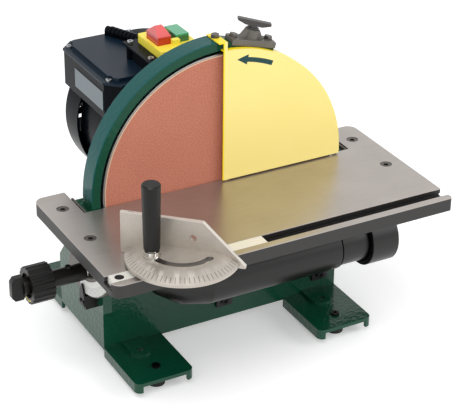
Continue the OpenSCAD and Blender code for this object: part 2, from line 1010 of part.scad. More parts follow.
module terminal_box() {
  post_r = 5.5;
  color(motor_black) place() difference() {
    union() {
      difference() {
        translate([0, 0, box_low]) linear_extrude(box_top - box_low) box_plan(0);
        translate([0, 0, box_low + box_wall]) linear_extrude(box_top - box_low) box_plan(-box_wall);
      }
      lid_screw_spots() rod_z(post_r, box_low, box_top);
    }
    at_axis() rod_y(motor_r + saddle_gap, 0, motor_rear);
    lid_screw_spots() rod_z(m4_r + snug, box_top - lid_t * 2, box_top + over);
  }
}

module terminal_box_lid() {
  rim = 1.5;
  color(motor_black) place() difference() {
    union() {
      translate([0, 0, box_top]) linear_extrude(lid_flange_t) box_plan(rim);
      translate([0, 0, box_top]) linear_extrude(lid_t) box_plan(-lid_panel_in);
    }
    translate([0, 0, box_top - over]) linear_extrude(lid_t - box_wall + over)
      box_plan(-lid_screw_in * 2);
    lid_screw_spots() {
      rod_z(m4_r + snug, 0, lid_top + over);
      rod_z(m4_head_r + side_gap, box_top + lid_flange_t, lid_top + over);
    }
  }
}

module lid_screws() {
  color(steel) place() translate([0, 0, box_top + lid_flange_t]) lid_screw_spots()
    socket_screw(m4_r, m4_head_r, m4_head_h, lid_t * 2);
}

module start_capacitor() {
  color([0.8, 0.8, 0.78]) place() translate([cap_x, 0, box_low + box_wall + cap_r])
    rod_y(cap_r, cap_y[0], cap_y[1]);
}

module rating_plate() {
  color([0.6, 0.62, 0.64]) place() block([box_left - plate_thick, rating_y[0], rating_z[0]],
    [box_left, rating_y[1], rating_z[1]]);
}

// Ribbed lead cover on the lid, slanting from the terminal box's rear to the switch box
module switch_lead() {
  rib_share = 0.5;
  lead_z = lid_top + lead_r + lead_rib_h;
  color(black) place() difference() {
    translate([lead_x, lead_rear, 0]) rotate([0, 0, lead_turn]) {
      translate([0, 0, lead_z]) {
        rod_y(lead_r, -lead_len, 0);
        for (i = [1:lead_rib_n]) translate([0, -lead_rib_start - i * lead_rib_step, 0])
          rod_y(lead_r + lead_rib_h, 0, lead_rib_step * rib_share);
      }
      block([-lead_r, -lead_block, lid_top], [lead_r, 0, lead_z]);
    }
    block([switch_left, 0, lid_top], [-switch_left, switch_rear, face_top]);
  }
}

module switch_box() {
  color(black) place() difference() {
    union() {
      block([switch_left + switch_wall * 2, switch_front, lid_top],
        [switch_right, switch_rear, switch_top]);
      block([switch_left, switch_front, switch_top - switch_flange_t],
        [switch_right, switch_rear, switch_top]);
      for (y = switch_screw_ys) translate([switch_screw_x, y, 0])
        rod_z(m4_head_r + over, lid_top, switch_top);
    }
    block([face_left + switch_wall, face_front + switch_wall, lid_top + switch_wall],
      [face_right - switch_wall, face_rear - switch_wall, switch_top + over]);
    for (y = switch_screw_ys) translate([switch_screw_x, y, 0])
      rod_z(m4_r + snug, lid_top + switch_wall, switch_top + over);
  }
}

module switch_screws() {
  color(steel) place() for (y = switch_screw_ys) translate([switch_screw_x, y, switch_top])
    socket_screw(m4_r, m4_head_r, m4_head_h, switch_h * half);
}

// Hole in the switch plate for one button
module button_well(x, w) {
  block([x - w * half - button_gap, button_y - button_len * half - button_gap, switch_top - over],
    [x + w * half + button_gap, button_y + button_len * half + button_gap, face_top + over]);
}

module switch_plate() {
  color([1, 0.86, 0.12]) place() difference() {
    union() {
      translate([0, 0, switch_top]) linear_extrude(face_t)
        round_corners([face_left, face_front],
          [face_right, face_rear], [for (i = [0:3]) face_corner_r]);
      translate([(stop_x + start_x + (stop_w - start_w) * half) * half, 0, 0])
        block([-latch_w * half, button_y - button_len * half - latch_len - over, switch_top + face_t * half],
          [latch_w * half, button_y - button_len * half - over, face_top + latch_h]);
    }
    button_well(stop_x, stop_w);
    button_well(start_x, start_w);
  }
}

// Button body in its well, with a stem down to the contacts
module button_body(x, w) {
  stem_low = lid_top + switch_wall + button_travel + side_gap;
  block([x - w * half, button_y - button_len * half, switch_top + button_travel + side_gap],
    [x + w * half, button_y + button_len * half, face_top + button_rise]);
  block([x - button_stem_w * half, button_y - button_stem_w * half, stem_low],
    [x + button_stem_w * half, button_y + button_stem_w * half, switch_top + button_travel + loose]);
}

module stop_button() {
  color([0.85, 0.16, 0.2]) place() union() {
    button_body(stop_x, stop_w);
    translate([stop_x, button_y, face_top + button_rise])
      linear_extrude(stop_cap_h, scale = stop_ridge_shares) square([stop_w, button_len], center = true);
  }
}

module start_button() {
  color([0.16, 0.6, 0.38]) place() button_body(start_x, start_w);
}

// Disc guard

// Neck up from the sheet and tab bent back over the ring, along the ring from left to right
module guard_tab(neck_left, left, right, rear) {
  block([neck_left, -guard_gap - guard_t, guard_r - bolt_bite],
    [right, -guard_gap, ring_out + guard_seat + guard_t]);
  block([left, -guard_gap - guard_t, ring_out + guard_seat],
    [right, rear, ring_out + guard_seat + guard_t]);
}

// Sheet with its curved edge bent back, as deep as rear
module guard_pan(rear) {
  difference() {
    rod_y(guard_r, -guard_gap - guard_t, rear);
    rod_y(guard_r - guard_t, -guard_gap, rear + over);
  }
}

module disc_guard() {
  front = -guard_gap - guard_t;
  low = guard_lift - table_drop;
  far = guard_r * 2;
  color(yellow) place() difference() {
    union() {
      at_axis() intersection() {
        guard_pan(guard_rim_rear);
        block([guard_left, front, low], [far, guard_rim_rear, far]);
      }
      intersection() {
        at_axis() guard_pan(ring_depth);
        at_ring(guard_side_angle) block([-guard_side_half, front, 0], [guard_side_half, ring_depth, far]);
      }
    }
    at_ring(ring_end_angle) block([-far, -guard_seat, 0], [side_gap, ring_depth, far]);
    at_guard_side() rod_z(m4_r + snug, 0, far);
  }
  color(yellow) place() difference() {
    at_ring(90) guard_tab(guard_left, guard_tab_left, guard_tab_right, guard_tab_rear);
    at_ring(90) translate([guard_bolt_x, guard_bolt_y, ring_out])
      rod_z(m6_r + snug, 0, guard_seat + guard_t + over);
  }
}

// Bolts of the guard and of the brake bracket
module ring_bolts() {
  tab_top = guard_seat + guard_t;
  color(steel) place() {
    at_ring(90) translate([guard_bolt_x, guard_bolt_y, ring_out + tab_top])
      hex_screw(m6_r, m6_head_r, m6_head_h, tab_top + bolt_bite - over);
    at_guard_side() translate([0, 0, guard_r])
      hex_screw(m4_r, m4_head_r, m4_head_h, tab_top + guard_side_bite - over);
    at_ring(brake_angle) for (side = [-1, 1]) translate([side * brake_bolt_x, brake_y, brake_base_top])
      hex_screw(m6_r, m6_head_r, m6_head_h, brake_base_t + bolt_bite - over);
  }
}

// Disc brake

module brake_bracket() {
  color([0.42, 0.39, 0.37]) place() at_ring(brake_angle) translate([0, brake_y, 0]) difference() {
    union() {
      translate([0, 0, brake_base_r]) linear_extrude(brake_base_t)
        round_corners([-brake_base_half, -brake_base_wide], [brake_base_half, brake_base_wide],
          [for (i = [0:3]) brake_base_corner]);
      block([-brake_base_half, -brake_base_wide, guard_r + pass_gap],
        [brake_base_half, -brake_y - guard_seat, brake_base_top - edge_break]);
      rod_z(brake_tower_r, brake_base_r, brake_top);
      along_y(-brake_gusset_wide, brake_gusset_wide) polygon([
        [-brake_gusset_half, brake_base_top - over], [brake_gusset_half, brake_base_top - over],
        [brake_top_half, brake_top], [-brake_top_half, brake_top]
      ]);
    }
    rod_z(brake_rod_r + run_gap, brake_base_r - over, brake_top + over);
    rod_z(brake_pocket_r, brake_spring_low, brake_top + over);
    for (side = [-1, 1]) translate([side * brake_bolt_x, 0, 0])
      rod_z(m6_r + snug, brake_base_r - over, brake_base_top + over);
  }
}

// Push handle, collar on the spring and rod in one piece
module brake_plunger() {
  color([0.4, 0.38, 0.36]) place() at_ring(brake_angle) translate([0, brake_y, 0]) {
    rod_z(brake_rod_r, lining_out, brake_neck_top + over);
    rod_z(brake_collar_r, brake_top - brake_collar_in, brake_top - brake_collar_in + brake_collar_h);
    rotate([0, 0, -brake_twist]) along_y(-brake_handle_half_w, brake_handle_half_w) polygon([
      [-brake_handle_len * half, brake_neck_top + brake_handle_t * brake_tip_share],
      [-brake_rod_r * 2, brake_neck_top], [brake_rod_r * 2, brake_neck_top],
      [brake_handle_len * half, brake_neck_top + brake_handle_t * brake_tip_share],
      [brake_handle_len * half, brake_neck_top + brake_handle_t],
      [-brake_handle_len * half, brake_neck_top + brake_handle_t]
    ]);
  }
}

// Return spring in the bracket's pocket, as the sleeve that its coils fill
module brake_spring() {
  color(steel) place() at_ring(brake_angle) translate([0, brake_y, 0]) difference() {
    rod_z(brake_spring_r, brake_spring_low, brake_spring_top);
    rod_z(brake_spring_r - brake_spring_t, brake_spring_low - over, brake_spring_top + over);
  }
}

// Shoe and lining, hollowed to the disc's rim
module brake_pad() {
  color([0.55, 0.25, 0.14]) place() difference() {
    at_ring(brake_angle) translate([0, brake_y, 0])
      block([-brake_pad_half, -brake_pad_wide, plate_r],
        [brake_pad_half, brake_pad_wide, lining_out + brake_shoe_t]);
    at_axis() rod_y(lining_in, -over, shoulder_rear, $fn = rim_fn);
    at_ring(brake_angle) translate([0, brake_y, 0]) rod_z(brake_rod_r + snug, lining_out, ring_out);
  }
}

// Dust chute

module at_chute() {
  translate([0, chute_y, chute_z]) children();
}

// One cross slice of the chute: round in front and straight back to the wall
module chute_slice(x0, x1, r, y, z) {
  translate([0, y, z]) rod_x(r, x0, x1, $fn = 32);
  block([x0, y, z - r], [x1, -front_reach, z + r]);
}

// Straight body and rounded left end, smaller by inset
module chute_form(inset) {
  chute_slice(chute_left, chute_end - inset, chute_r - inset, chute_y, chute_z);
  hull() {
    chute_slice(chute_left, chute_left + slice_t, chute_r - inset, chute_y, chute_z);
    for (h = horn_slices)
      chute_slice(h[0] + inset, h[0] + inset + slice_t, h[1] - inset, h[2], chute_z + h[3]);
  }
}

module dust_chute() {
  color(black) place() difference() {
    union() {
      chute_form(0);
      for (x = tab_xs) block([x - tab_half, -front_reach - tab_t, tab_low],
        [x + tab_half, -front_reach, chute_z - chute_r + chute_wall]);
    }
    translate([0, over, 0]) chute_form(chute_wall);
    block([-table_half, -front_reach, 0], [table_half, ring_depth, table_z]);
    at_chute() rod_x(chute_r - chute_wall, chute_left, chute_end + over);
    for (x = tab_xs) translate([x, 0, tab_screw_z]) rod_y(m6_r + snug, -front_reach - tab_t - over, 0);
  }
}

// Outlet with a plain middle and a larger hose collar
module dust_outlet() {
  spigot_r = chute_r - chute_wall - snug;
  color(black) place() at_chute() difference() {
    union() {
      rod_x(spigot_r, chute_end - outlet_lap, chute_end);
      rod_x(outlet_mid_r - seam_sink, chute_end, collar_start);
      rod_x(outlet_mid_r, chute_end + seam_w, collar_start - seam_w);
      rod_x(collar_r, collar_start, collar_end);
    }
    rod_x(spigot_r - chute_wall, chute_end - outlet_lap - over, collar_end + over);
    rod_x(collar_r - chute_wall, collar_start + chute_wall, collar_end + over);
  }
}

module chute_screws() {
  color(steel) place() for (x = tab_xs) translate([x, -front_reach - tab_t, tab_screw_z])
    rotate([90, 0, 0]) socket_screw(m6_r, m6_head_r, low_head_h, tab_t + front_wall_t);
}

// Trunnion supports, guide bolts and angle pointer

// Outline of a support in y and z, from its lower edge, kept under the tilted table
module support_plan(low) {
  slope_z = table_z - support_slope_gap;
  head = base_top - pass_gap;
  polygon([
    [-support_front, low], [-support_front, slope_z - support_front],
    [head - slope_z, head], [support_rear, head], [support_rear, low]
  ]);
}

module guide_spots() {
  for (a = guide_angles) at_tilt() translate([0, guide_r * cos(a), guide_r * sin(a)]) children();
}

module trunnion_support_left() {
  color(green) place() difference() {
    along_x(-support_out, -base_half) support_plan(support_low);
    for (p = support_bolts_left) translate([0, p[0], p[1]]) {
      rod_x(m8_r + snug, -support_out - over, over - base_half);
      rod_x(m8_head_r + snug, -support_out - over, support_bolt_head_h - support_out);
    }
    guide_spots() rod_x(m8_r + snug, -support_out - over, over - base_half);
    translate([0, shaft_y, shaft_z])
      rod_x(tilt_shaft_r + run_gap, -support_out - over, over - base_half);
  }
}

module trunnion_support_right() {
  color(green) place() difference() {
    along_x(base_half, support_out) support_plan(support_small_low);
    for (p = support_bolts_right) translate([0, p[0], p[1]]) {
      rod_x(m8_r + snug, base_half - over, support_out + over);
      rod_x(m8_head_r + snug, support_out - support_bolt_head_h, support_out + over);
    }
    guide_spots() rod_x(m8_r + snug, base_half - over, support_out + over);
  }
}

module support_bolts() {
  head = support_out - support_bolt_head_h;
  color(steel) place() {
    for (p = support_bolts_left) translate([-head, p[0], p[1]]) rotate([0, -90, 0])
      socket_screw(m8_r, m8_head_r, support_bolt_head_h - bolt_sink, head - support_bolt_inner);
    for (p = support_bolts_right) translate([head, p[0], p[1]]) rotate([0, 90, 0])
      socket_screw(m8_r, m8_head_r, support_bolt_head_h - bolt_sink, head - support_bolt_inner);
  }
}

// Shoulder bolts that the trunnions' curved slots slide on
module guide_bolts() {
  head = trunnion_out + guide_washer_gap;
  color(steel) place() guide_spots() both_sides() {
    rod_x(m8_r, base_half + over, head + over);
    rod_x(guide_head_r, head, head + guide_head_h);
  }
}

// Block on the left support that carries the pointer under the trunnion's rim
module pointer_block() {
  top = table_z - trunnion_r - side_gap;
  color(black) place() block([-block_out + pointer_t, block_y - block_half, block_low],
    [-support_out, block_y + block_half, top]);
}

module scale_pointer() {
  top = table_z - trunnion_r - side_gap;
  tip_share = 0.15;
  screw_z = (block_low + top) * half;
  color(steel) place() {
    along_x(-block_out, pointer_t - block_out) polygon([
      [block_y - block_half, block_low + pointer_low_drop],
      [block_y + block_half, block_low + pointer_low_drop],
      [block_y + block_half, top], [block_y + block_half * tip_share, top + pointer_tip_rise],
      [block_y - block_half * tip_share, top + pointer_tip_rise], [block_y - block_half, top]
    ]);
    for (dy = [-pointer_screw_dy, pointer_screw_dy]) translate([0, block_y + dy, screw_z])
      rod_x(pointer_screw_r, -block_out - m4_head_h * half, -block_out);
  }
}

// Table

module table_plan() {
  difference() {
    round_corners([-table_half, -table_front], [table_half, ear_len],
      [table_corner_r, table_front_right_r, table_corner_r, table_corner_r]);
    translate([-notch_half, -disc_gap]) square([notch_half * 2, ear_len * 2]);
  }
}

module trunnion_screw_spots() {
  for (y = trunnion_screw_ys) both_sides() translate([trunnion_screw_x, y, table_z]) children();
}

module sanding_table() {
  strip_rear = slot_rear - strip_w;
  color(iron) place() difference() {
    translate([0, 0, table_z - skirt_h]) linear_extrude(skirt_h) table_plan();
    block([-table_half + skirt_w, -strip_rear, table_z - skirt_h - over],
      [table_half - skirt_w, ear_len - skirt_w, table_z - table_t]);
    block([-notch_half - over, -disc_gap - skirt_h, table_z - skirt_h - over],
      [notch_half + over, 0, table_z - table_t]);
    along_x_edge_bevel();
    block([-table_half - over, -slot_rear - slot_w, table_z - slot_depth],
      [table_half + over, -slot_rear, table_z + over]);
    block([-table_half - over, -slot_rear - slot_w - undercut_w, table_z - slot_depth],
      [table_half + over, -slot_rear + undercut_w, table_z - slot_depth + undercut_h]);
    trunnion_screw_spots() {
      rod_z(m8_r + snug, -skirt_h, over);
      rod_z(screw_sink_r, -screw_sink_h, over);
    }
  }
}

// Bevel under the disc-side edge that keeps the gap as the table tilts
module along_x_edge_bevel() {
  translate([0, 0, table_z]) along_x(-notch_half, notch_half) polygon([
    [-disc_gap, -edge_break], [over, -edge_break], [over, -table_t - over],
    [-disc_gap - (table_t + over - edge_break) / tan(90 - tilt_max), -table_t - over]
  ]);
}

// Flange under the table and the thin rib beside the notch, on the right
module trunnion_top() {
  translate([0, 0, table_z]) {
    block([trunnion_x, -flange_front, -table_t - flange_t], [flange_out, flange_rear, -table_t]);
    block([trunnion_x, rib_front, -table_t - flange_t],
      [trunnion_x + rib_t, flange_rear, -rib_top_drop]);
  }
}

module guide_slot() {
  half_w = m8_r + guide_slot_gap;
  ring_part_x(guide_r - half_w, guide_r + half_w, trunnion_x - over, trunnion_out + over,
    guide_angles[0] - tilt_max - guide_end_angle, guide_angles[1] + guide_end_angle);
}

// Spaces of the rack: a wide curved slot whose outer edge is toothed
module rack_cut(x0, x1) {
  tip = rack_pitch - gear_m * addendum_share;
  root = rack_pitch + gear_m * dedendum_share;
  a0 = pinion_angle - tilt_max - rack_end_angle;
  a1 = pinion_angle + rack_end_angle;
  step = 360 / rack_n;
  ring_part_x(rack_slot_in, tip, x0, x1, a0, a1);
  along_x(x0, x1) for (k = [-2:ceil(tilt_max / step) + 2]) rotate(pinion_angle - k * step) polygon([
    [tip - gear_m, -step * space_mouth_share * rack_pitch * PI / 180],
    [tip, -step * space_mouth_share * rack_pitch * PI / 180],
    [root, -step * space_root_share * rack_pitch * PI / 180],
    [root, step * space_root_share * rack_pitch * PI / 180],
    [tip, step * space_mouth_share * rack_pitch * PI / 180],
    [tip - gear_m, step * space_mouth_share * rack_pitch * PI / 180]
  ]);
}

// Trunnion holes for the table's screws
module trunnion_drill() {
  for (y = trunnion_screw_ys) translate([trunnion_screw_x, y, table_z])
    rod_z(m8_r + snug, -table_t - flange_t - over, 0);
}

module trunnion_right() {
  color(alloy) place() difference() {
    union() {
      trunnion_top();
      at_tilt() ring_part_x(sector_in, small_trunnion_r, trunnion_x,
        trunnion_out, small_sector_start_angle, sector_end_angle);
    }
    at_tilt() guide_slot();
    trunnion_drill();
    trunnion_head_room();
  }
}

// Removes what a sector would leave above the flange's top
module trunnion_head_room() {
  block([trunnion_x + rib_t, -trunnion_r - over, table_z - table_t],
    [flange_out + over, trunnion_r + over, table_z + trunnion_r]);
  block([trunnion_x - over, -trunnion_r - over, table_z - table_t],
    [flange_out, 0, table_z + trunnion_r]);
}

module trunnion_left() {
  color(alloy) place() difference() {
    union() {
      mirror([1, 0, 0]) trunnion_top();
      at_tilt() ring_part_x(sector_in, trunnion_r, -trunnion_out,
        -trunnion_x, sector_start_angle, big_sector_end_angle);
      at_tilt() ring_part_x(sector_in, small_trunnion_r, -trunnion_out,
        -trunnion_x, sector_start_angle, sector_end_angle);
    }
    at_tilt() {
      mirror([1, 0, 0]) guide_slot();
      rack_cut(-trunnion_out - over, over - trunnion_x);
    }
    mirror([1, 0, 0]) {
      trunnion_drill();
      trunnion_head_room();
    }
  }
}

module trunnion_screws() {
  color(black) place() trunnion_screw_spots() translate([0, 0, -screw_sink_h])
    socket_screw(m8_r, m8_head_r, m8_head_h, table_t + flange_t - screw_sink_h);
}

module angle_scale() {
  color([0.95, 0.95, 0.93]) place() at_tilt()
    ring_part_x(scale_in, trunnion_r - scale_edge, -trunnion_out - scale_t, -trunnion_out,
      scale_start_angle, scale_end_angle);
}

// Tilt shaft with pinion, knob and lock wing

module at_shaft() {
  translate([0, shaft_y, shaft_z]) children();
}

module tilt_shaft() {
  color(steel) place() at_shaft() difference() {
    rod_x(tilt_shaft_r, -knob_start, -shaft_inner);
    translate([-set_screw_x, 0, 0]) rod_z(m4_r + snug, tilt_shaft_r * half, tilt_shaft_r * 2);
  }
}

module tilt_pinion() {
  tip = pinion_pitch + gear_m * addendum_share;
  root = pinion_pitch - gear_m * dedendum_share;
  step = 360 / pinion_n;
  color(steel) place() at_shaft() difference() {
    along_x(pinion_side_gap - trunnion_out, -trunnion_x - pinion_side_gap) union() {
      circle(root);
      for (k = [0:pinion_n - 1]) rotate(pinion_angle + k * step) polygon([
        [root - over, -step * tooth_root_share * pinion_pitch * PI / 180],
        [root, -step * tooth_root_share * pinion_pitch * PI / 180],
        [tip, -step * tooth_tip_share * pinion_pitch * PI / 180],
        [tip, step * tooth_tip_share * pinion_pitch * PI / 180],
        [root, step * tooth_root_share * pinion_pitch * PI / 180],
        [root - over, step * tooth_root_share * pinion_pitch * PI / 180]
      ]);
    }
    rod_x(tilt_shaft_r + snug, -trunnion_out - over, over - trunnion_x);
  }
}

// Fluted knob with its sleeve and set screw boss
module tilt_knob() {
  color(black) place() at_shaft() difference() {
    union() {
      rod_x(sleeve_r, -knob_start, -sleeve_start);
      rod_x(knob_r, -knob_end, -knob_start);
      translate([-set_screw_x, 0, 0]) rod_z(m4_head_r, 0, sleeve_r + set_screw_rise);
    }
    rod_x(tilt_shaft_r + snug, -knob_start, -sleeve_start + over);
    rod_x(wing_stud_r + run_gap, -knob_end - over, -knob_end + wing_stud_len + over);
    rod_x(knob_cup_r, -knob_end - over, knob_cup_h - knob_end);
    for (i = [0:flute_n - 1]) rotate([i * 360 / flute_n, 0, 0]) translate([0, 0, knob_r + flute_sink])
      rod_x(flute_r, -knob_end - over, over - knob_start);
    translate([-set_screw_x, 0, 0]) rod_z(m4_r, 0, sleeve_r * 2);
  }
}

module lock_wing() {
  hub_in = knob_end - knob_cup_h + pass_gap;
  color(black) place() at_shaft() {
    rod_x(wing_stud_r, -hub_in - over, wing_stud_len - knob_end);
    rod_x(wing_hub_r, -knob_end - wing_hub_len, -hub_in);
    translate([0, wing_half_t, 0]) rotate([90, 0, 0]) linear_extrude(wing_half_t * 2) polygon([
      [-knob_end - wing_hub_len * half, -wing_hub_r], [-knob_end - wing_hub_len, -wing_half_h],
      [-wing_end + wing_bevel, -wing_half_h], [-wing_end, -wing_tip_half_h],
      [-wing_end, wing_tip_half_h], [-wing_end + wing_bevel, wing_half_h],
      [-knob_end - wing_hub_len, wing_half_h], [-knob_end - wing_hub_len * half, wing_hub_r]
    ]);
  }
}

// Mitre gauge

module at_mitre() {
  translate([mitre_x, bar_y, table_z]) children();
}

module mitre_bar() {
  bar_half = slot_w * half - bar_gap;
  color(alloy) place() difference() {
    block([bar_left, bar_y - bar_half, table_z - slot_depth + bar_gap],
      [bar_left + bar_len, bar_y + bar_half, table_z - bar_gap]);
    at_mitre() {
      rod_z(pivot_r + snug, -slot_depth - over, over);
      translate([-clamp_r, 0, 0]) rod_z(stud_r + snug, -slot_depth - over, over);
    }
    translate([bar_left + bar_screw_x, bar_y, table_z]) rod_z(bar_screw_r, -bar_screw_h, over);
  }
}

// Protractor web whose edge slopes down to its rim, and the hub on the pivot
module protractor() {
  web_low = web_top - web_t;
  difference() {
    union() {
      rotate_extrude() polygon([
        [0, web_low], [0, web_top], [cone_r, web_top], [arc_r, rim_top],
        [arc_r, rim_low], [arc_r - rim_w, rim_low], [cone_r - rim_w * half, web_low]
      ]);
      rod_z(pivot_hub_r, head_lift, web_top);
    }
    block([-arc_r * 2, fence_near + fence_t, -over], [arc_r * 2, arc_r * 2, fence_h]);
  }
}

// Curved slot for the clamp stud, on the side away from the fence
module arc_slot() {
  translate([0, 0, -over]) rotate([0, 0, 270 - arc_swing]) rotate_extrude(angle = arc_swing * 2)
    translate([clamp_r - clamp_slot_half, 0])
      square([clamp_slot_half * 2, web_top + over + over]);
  for (a = [270 - arc_swing, 270 + arc_swing]) rotate([0, 0, a]) translate([clamp_r, 0, 0])
    rod_z(clamp_slot_half, -over, web_top + over);
}

module mitre_head() {
  color(alloy) place() at_mitre() rotate([0, 0, -fence_turn]) difference() {
    union() {
      protractor();
      along_y(fence_near, fence_near + fence_t) polygon([
        [-fence_left, head_lift], [-fence_left, fence_h], [fence_top_len - fence_left, fence_h],
        [fence_len - fence_left, fence_tip_h], [fence_len - fence_left, head_lift]
      ]);
    }
    rod_z(pivot_r + run_gap, -over, head_lift + pivot_bite);
    arc_slot();
    translate([fence_hole_x, 0, fence_hole_z])
      rod_y(fence_hole_r, fence_near - over, fence_near + fence_t + over);
  }
}

module mitre_pivot_pin() {
  color(steel) place() at_mitre()
    rod_z(pivot_r, -slot_depth + bar_gap, head_lift + pivot_bite - pass_gap);
}

// Stud through the arc slot with its washer and the bright ferrule under the handle
module clamp_stud() {
  seat_z = web_top + pass_gap;
  color(steel) place() at_mitre() translate([-clamp_r, 0, 0]) {
    rod_z(stud_r, -slot_depth + over, seat_z + washer_h + ferrule_h + handle_len * half);
    rod_z(washer_r, seat_z, seat_z + washer_h);
    rod_z(ferrule_neck_r, seat_z + washer_h, seat_z + washer_h + ferrule_h);
    rod_z(ferrule_r, seat_z + washer_h, seat_z + washer_h + ferrule_h - ferrule_neck_len);
  }
}

module clamp_handle() {
  low = web_top + pass_gap + washer_h + ferrule_h;
  color(black) place() at_mitre() translate([-clamp_r, 0, 0]) difference() {
    rotate_extrude() polygon([
      [0, low], [handle_r * handle_neck_share - handle_round, low],
      [handle_r * handle_neck_share, low + handle_round],
      [handle_r, low + handle_len - handle_round],
      [handle_r - handle_round, low + handle_len], [0, low + handle_len]
    ]);
    rod_z(stud_r + snug, low - over, low + handle_len * half + over);
  }
}

base_casting();
disc_housing();
housing_bolts();
rubber_feet();
foot_screws();
motor_shell();
drive_end_shield();
rear_shield();
fan_cover();
motor_bolts();
stator_core();
stator_windings();
motor_bearings();
terminal_box();
terminal_box_lid();
lid_screws();
start_capacitor();
rating_plate();
switch_lead();
switch_box();
switch_plate();
switch_screws();
stop_button();
start_button();
disc_guard();
ring_bolts();
brake_bracket();
brake_plunger();
brake_spring();
brake_pad();
dust_chute();
dust_outlet();
chute_screws();
trunnion_support_left();
trunnion_support_right();
support_bolts();
guide_bolts();
pointer_block();
scale_pointer();
sanding_table();
trunnion_left();
trunnion_right();
trunnion_screws();
angle_scale();
tilt_shaft();
tilt_pinion();
tilt_knob();
lock_wing();
abrasive_disc();
disc_plate();
disc_bolt();
motor_shaft();
rotor_core();
cooling_fan();
mitre_bar();
mitre_head();
mitre_pivot_pin();
clamp_stud();
clamp_handle();
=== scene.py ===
# %% [markdown]
# # A benchtop disc sander, dressed for the studio
# The machine's pieces come in as exact solids that already stand in their places. This lesson gives
# them the look of the real machine: rounded edges, enamel, ground iron, moulded plastic and coated
# abrasive. No solid is moved or resized, so the solids' own sizes are the only ruler. Three small
# pieces that the solids leave out are added at the end.

# %% Load the solids
import json
import math

import bpy
from mathutils import Euler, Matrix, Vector


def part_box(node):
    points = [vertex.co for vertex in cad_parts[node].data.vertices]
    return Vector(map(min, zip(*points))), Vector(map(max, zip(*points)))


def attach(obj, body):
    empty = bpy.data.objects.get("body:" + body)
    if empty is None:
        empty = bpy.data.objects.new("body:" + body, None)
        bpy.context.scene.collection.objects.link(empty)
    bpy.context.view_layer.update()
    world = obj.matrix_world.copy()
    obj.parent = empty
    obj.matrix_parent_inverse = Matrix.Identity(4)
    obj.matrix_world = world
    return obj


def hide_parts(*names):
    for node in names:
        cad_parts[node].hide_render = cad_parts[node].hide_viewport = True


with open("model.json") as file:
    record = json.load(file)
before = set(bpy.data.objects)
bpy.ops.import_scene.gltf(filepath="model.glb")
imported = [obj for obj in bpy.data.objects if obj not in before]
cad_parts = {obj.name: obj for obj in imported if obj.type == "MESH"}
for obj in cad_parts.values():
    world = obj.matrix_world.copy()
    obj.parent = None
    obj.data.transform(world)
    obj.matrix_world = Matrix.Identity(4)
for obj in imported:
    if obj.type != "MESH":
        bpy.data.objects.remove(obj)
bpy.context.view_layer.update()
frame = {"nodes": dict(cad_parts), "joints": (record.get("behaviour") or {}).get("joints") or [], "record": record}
MM = 0.001
DEGREE = math.pi / 180


def joint_place(name):
    """Where a joint's axis passes, in metres."""
    return next(Vector(j["pos_m"]) for j in frame["joints"] if j["name"] == name)


AXIS = joint_place("disc_spin")
TILT = joint_place("table_tilt")
PIVOT = joint_place("gauge_swivel")
KNOB = joint_place("tilt_turn")
BODIES = frame["record"]["behaviour"]["bodies"]
BODY_OF = {node: body for body, nodes in BODIES.items() for node in nodes}
SLOT_OF = {part["node"]: part["material_slot"] for part in frame["record"]["subparts"]}
print(f"disc axis {AXIS.z / MM:.0f} mm above the bench")

# %% [markdown]
# ## Camera
# A product photo is taken from a distance with a long lens, so parallel edges stay nearly parallel.
# The camera here is placed by its direction, distance and a small roll about the point it looks at,
# which is easier to check against a photo than raw coordinates.

# %% Place the camera
LOOK_AT = AXIS + Vector((12.7, 0, -47.3)) * MM
CAMERA_TURN = math.radians(-28.984)
CAMERA_RISE = math.radians(28.416)
CAMERA_ROLL = math.radians(0.676)
CAMERA_DISTANCE = 2.0212
CAMERA_LENS = 130.27
SENSOR_WIDTH = 36

camera_data = bpy.data.cameras.new("photo_camera")
camera_data.lens = CAMERA_LENS
camera_data.sensor_fit = "HORIZONTAL"
camera_data.sensor_width = SENSOR_WIDTH
camera = bpy.data.objects.new("photo_camera", camera_data)
bpy.context.scene.collection.objects.link(camera)
turn = Euler((math.pi / 2 - CAMERA_RISE, 0, CAMERA_TURN)).to_matrix()
turn = turn @ Euler((0, 0, CAMERA_ROLL)).to_matrix()
camera.matrix_world = turn.to_4x4()
camera.location = LOOK_AT + turn @ Vector((0, 0, CAMERA_DISTANCE))
bpy.context.scene.camera = camera
print(f"camera {CAMERA_DISTANCE} m away with a {CAMERA_LENS} mm lens")

# %% [markdown]
# ## Colours
# A picture file stores colour on a curve, and a shader works with light itself. Each colour here is
# written with three channels on that curve, as a colour picker shows it, and turned into light once.
# That keeps the numbers easy to compare with what is seen on a screen.

# %% Colours
CHANNEL_TOP = 255
SCREEN_KNEE, SCREEN_SLOPE, SCREEN_OFFSET, SCREEN_POWER = 0.04045, 12.92, 0.055, 2.4


def linear(share):
    """One channel of a screen colour, from 0 to 1, as the light that it stands for."""
    if share <= SCREEN_KNEE:
        return share / SCREEN_SLOPE
    return ((share + SCREEN_OFFSET) / (1 + SCREEN_OFFSET)) ** SCREEN_POWER


def srgb(*channels):
    """A colour given by three channels from 0 to 255, as the colour that a shader wants."""
    return tuple(linear(c / CHANNEL_TOP) for c in channels) + (1.0,)


def tinted(color, share):
    """A colour made darker or paler by a share."""
    return tuple(min(1.0, c * share) for c in color[:3]) + (1.0,)


print("mid grey is", round(srgb(128, 128, 128)[0], 3), "of full light")

# %% [markdown]
# ## Shader maths
# A finish is a small graph of nodes. It could be joined by hand in the editor, but a long sum is hard
# to read there. Here a Value wraps one socket, and adding, multiplying or comparing Values adds the
# Math node that does it, so the graph is written as plain sums.

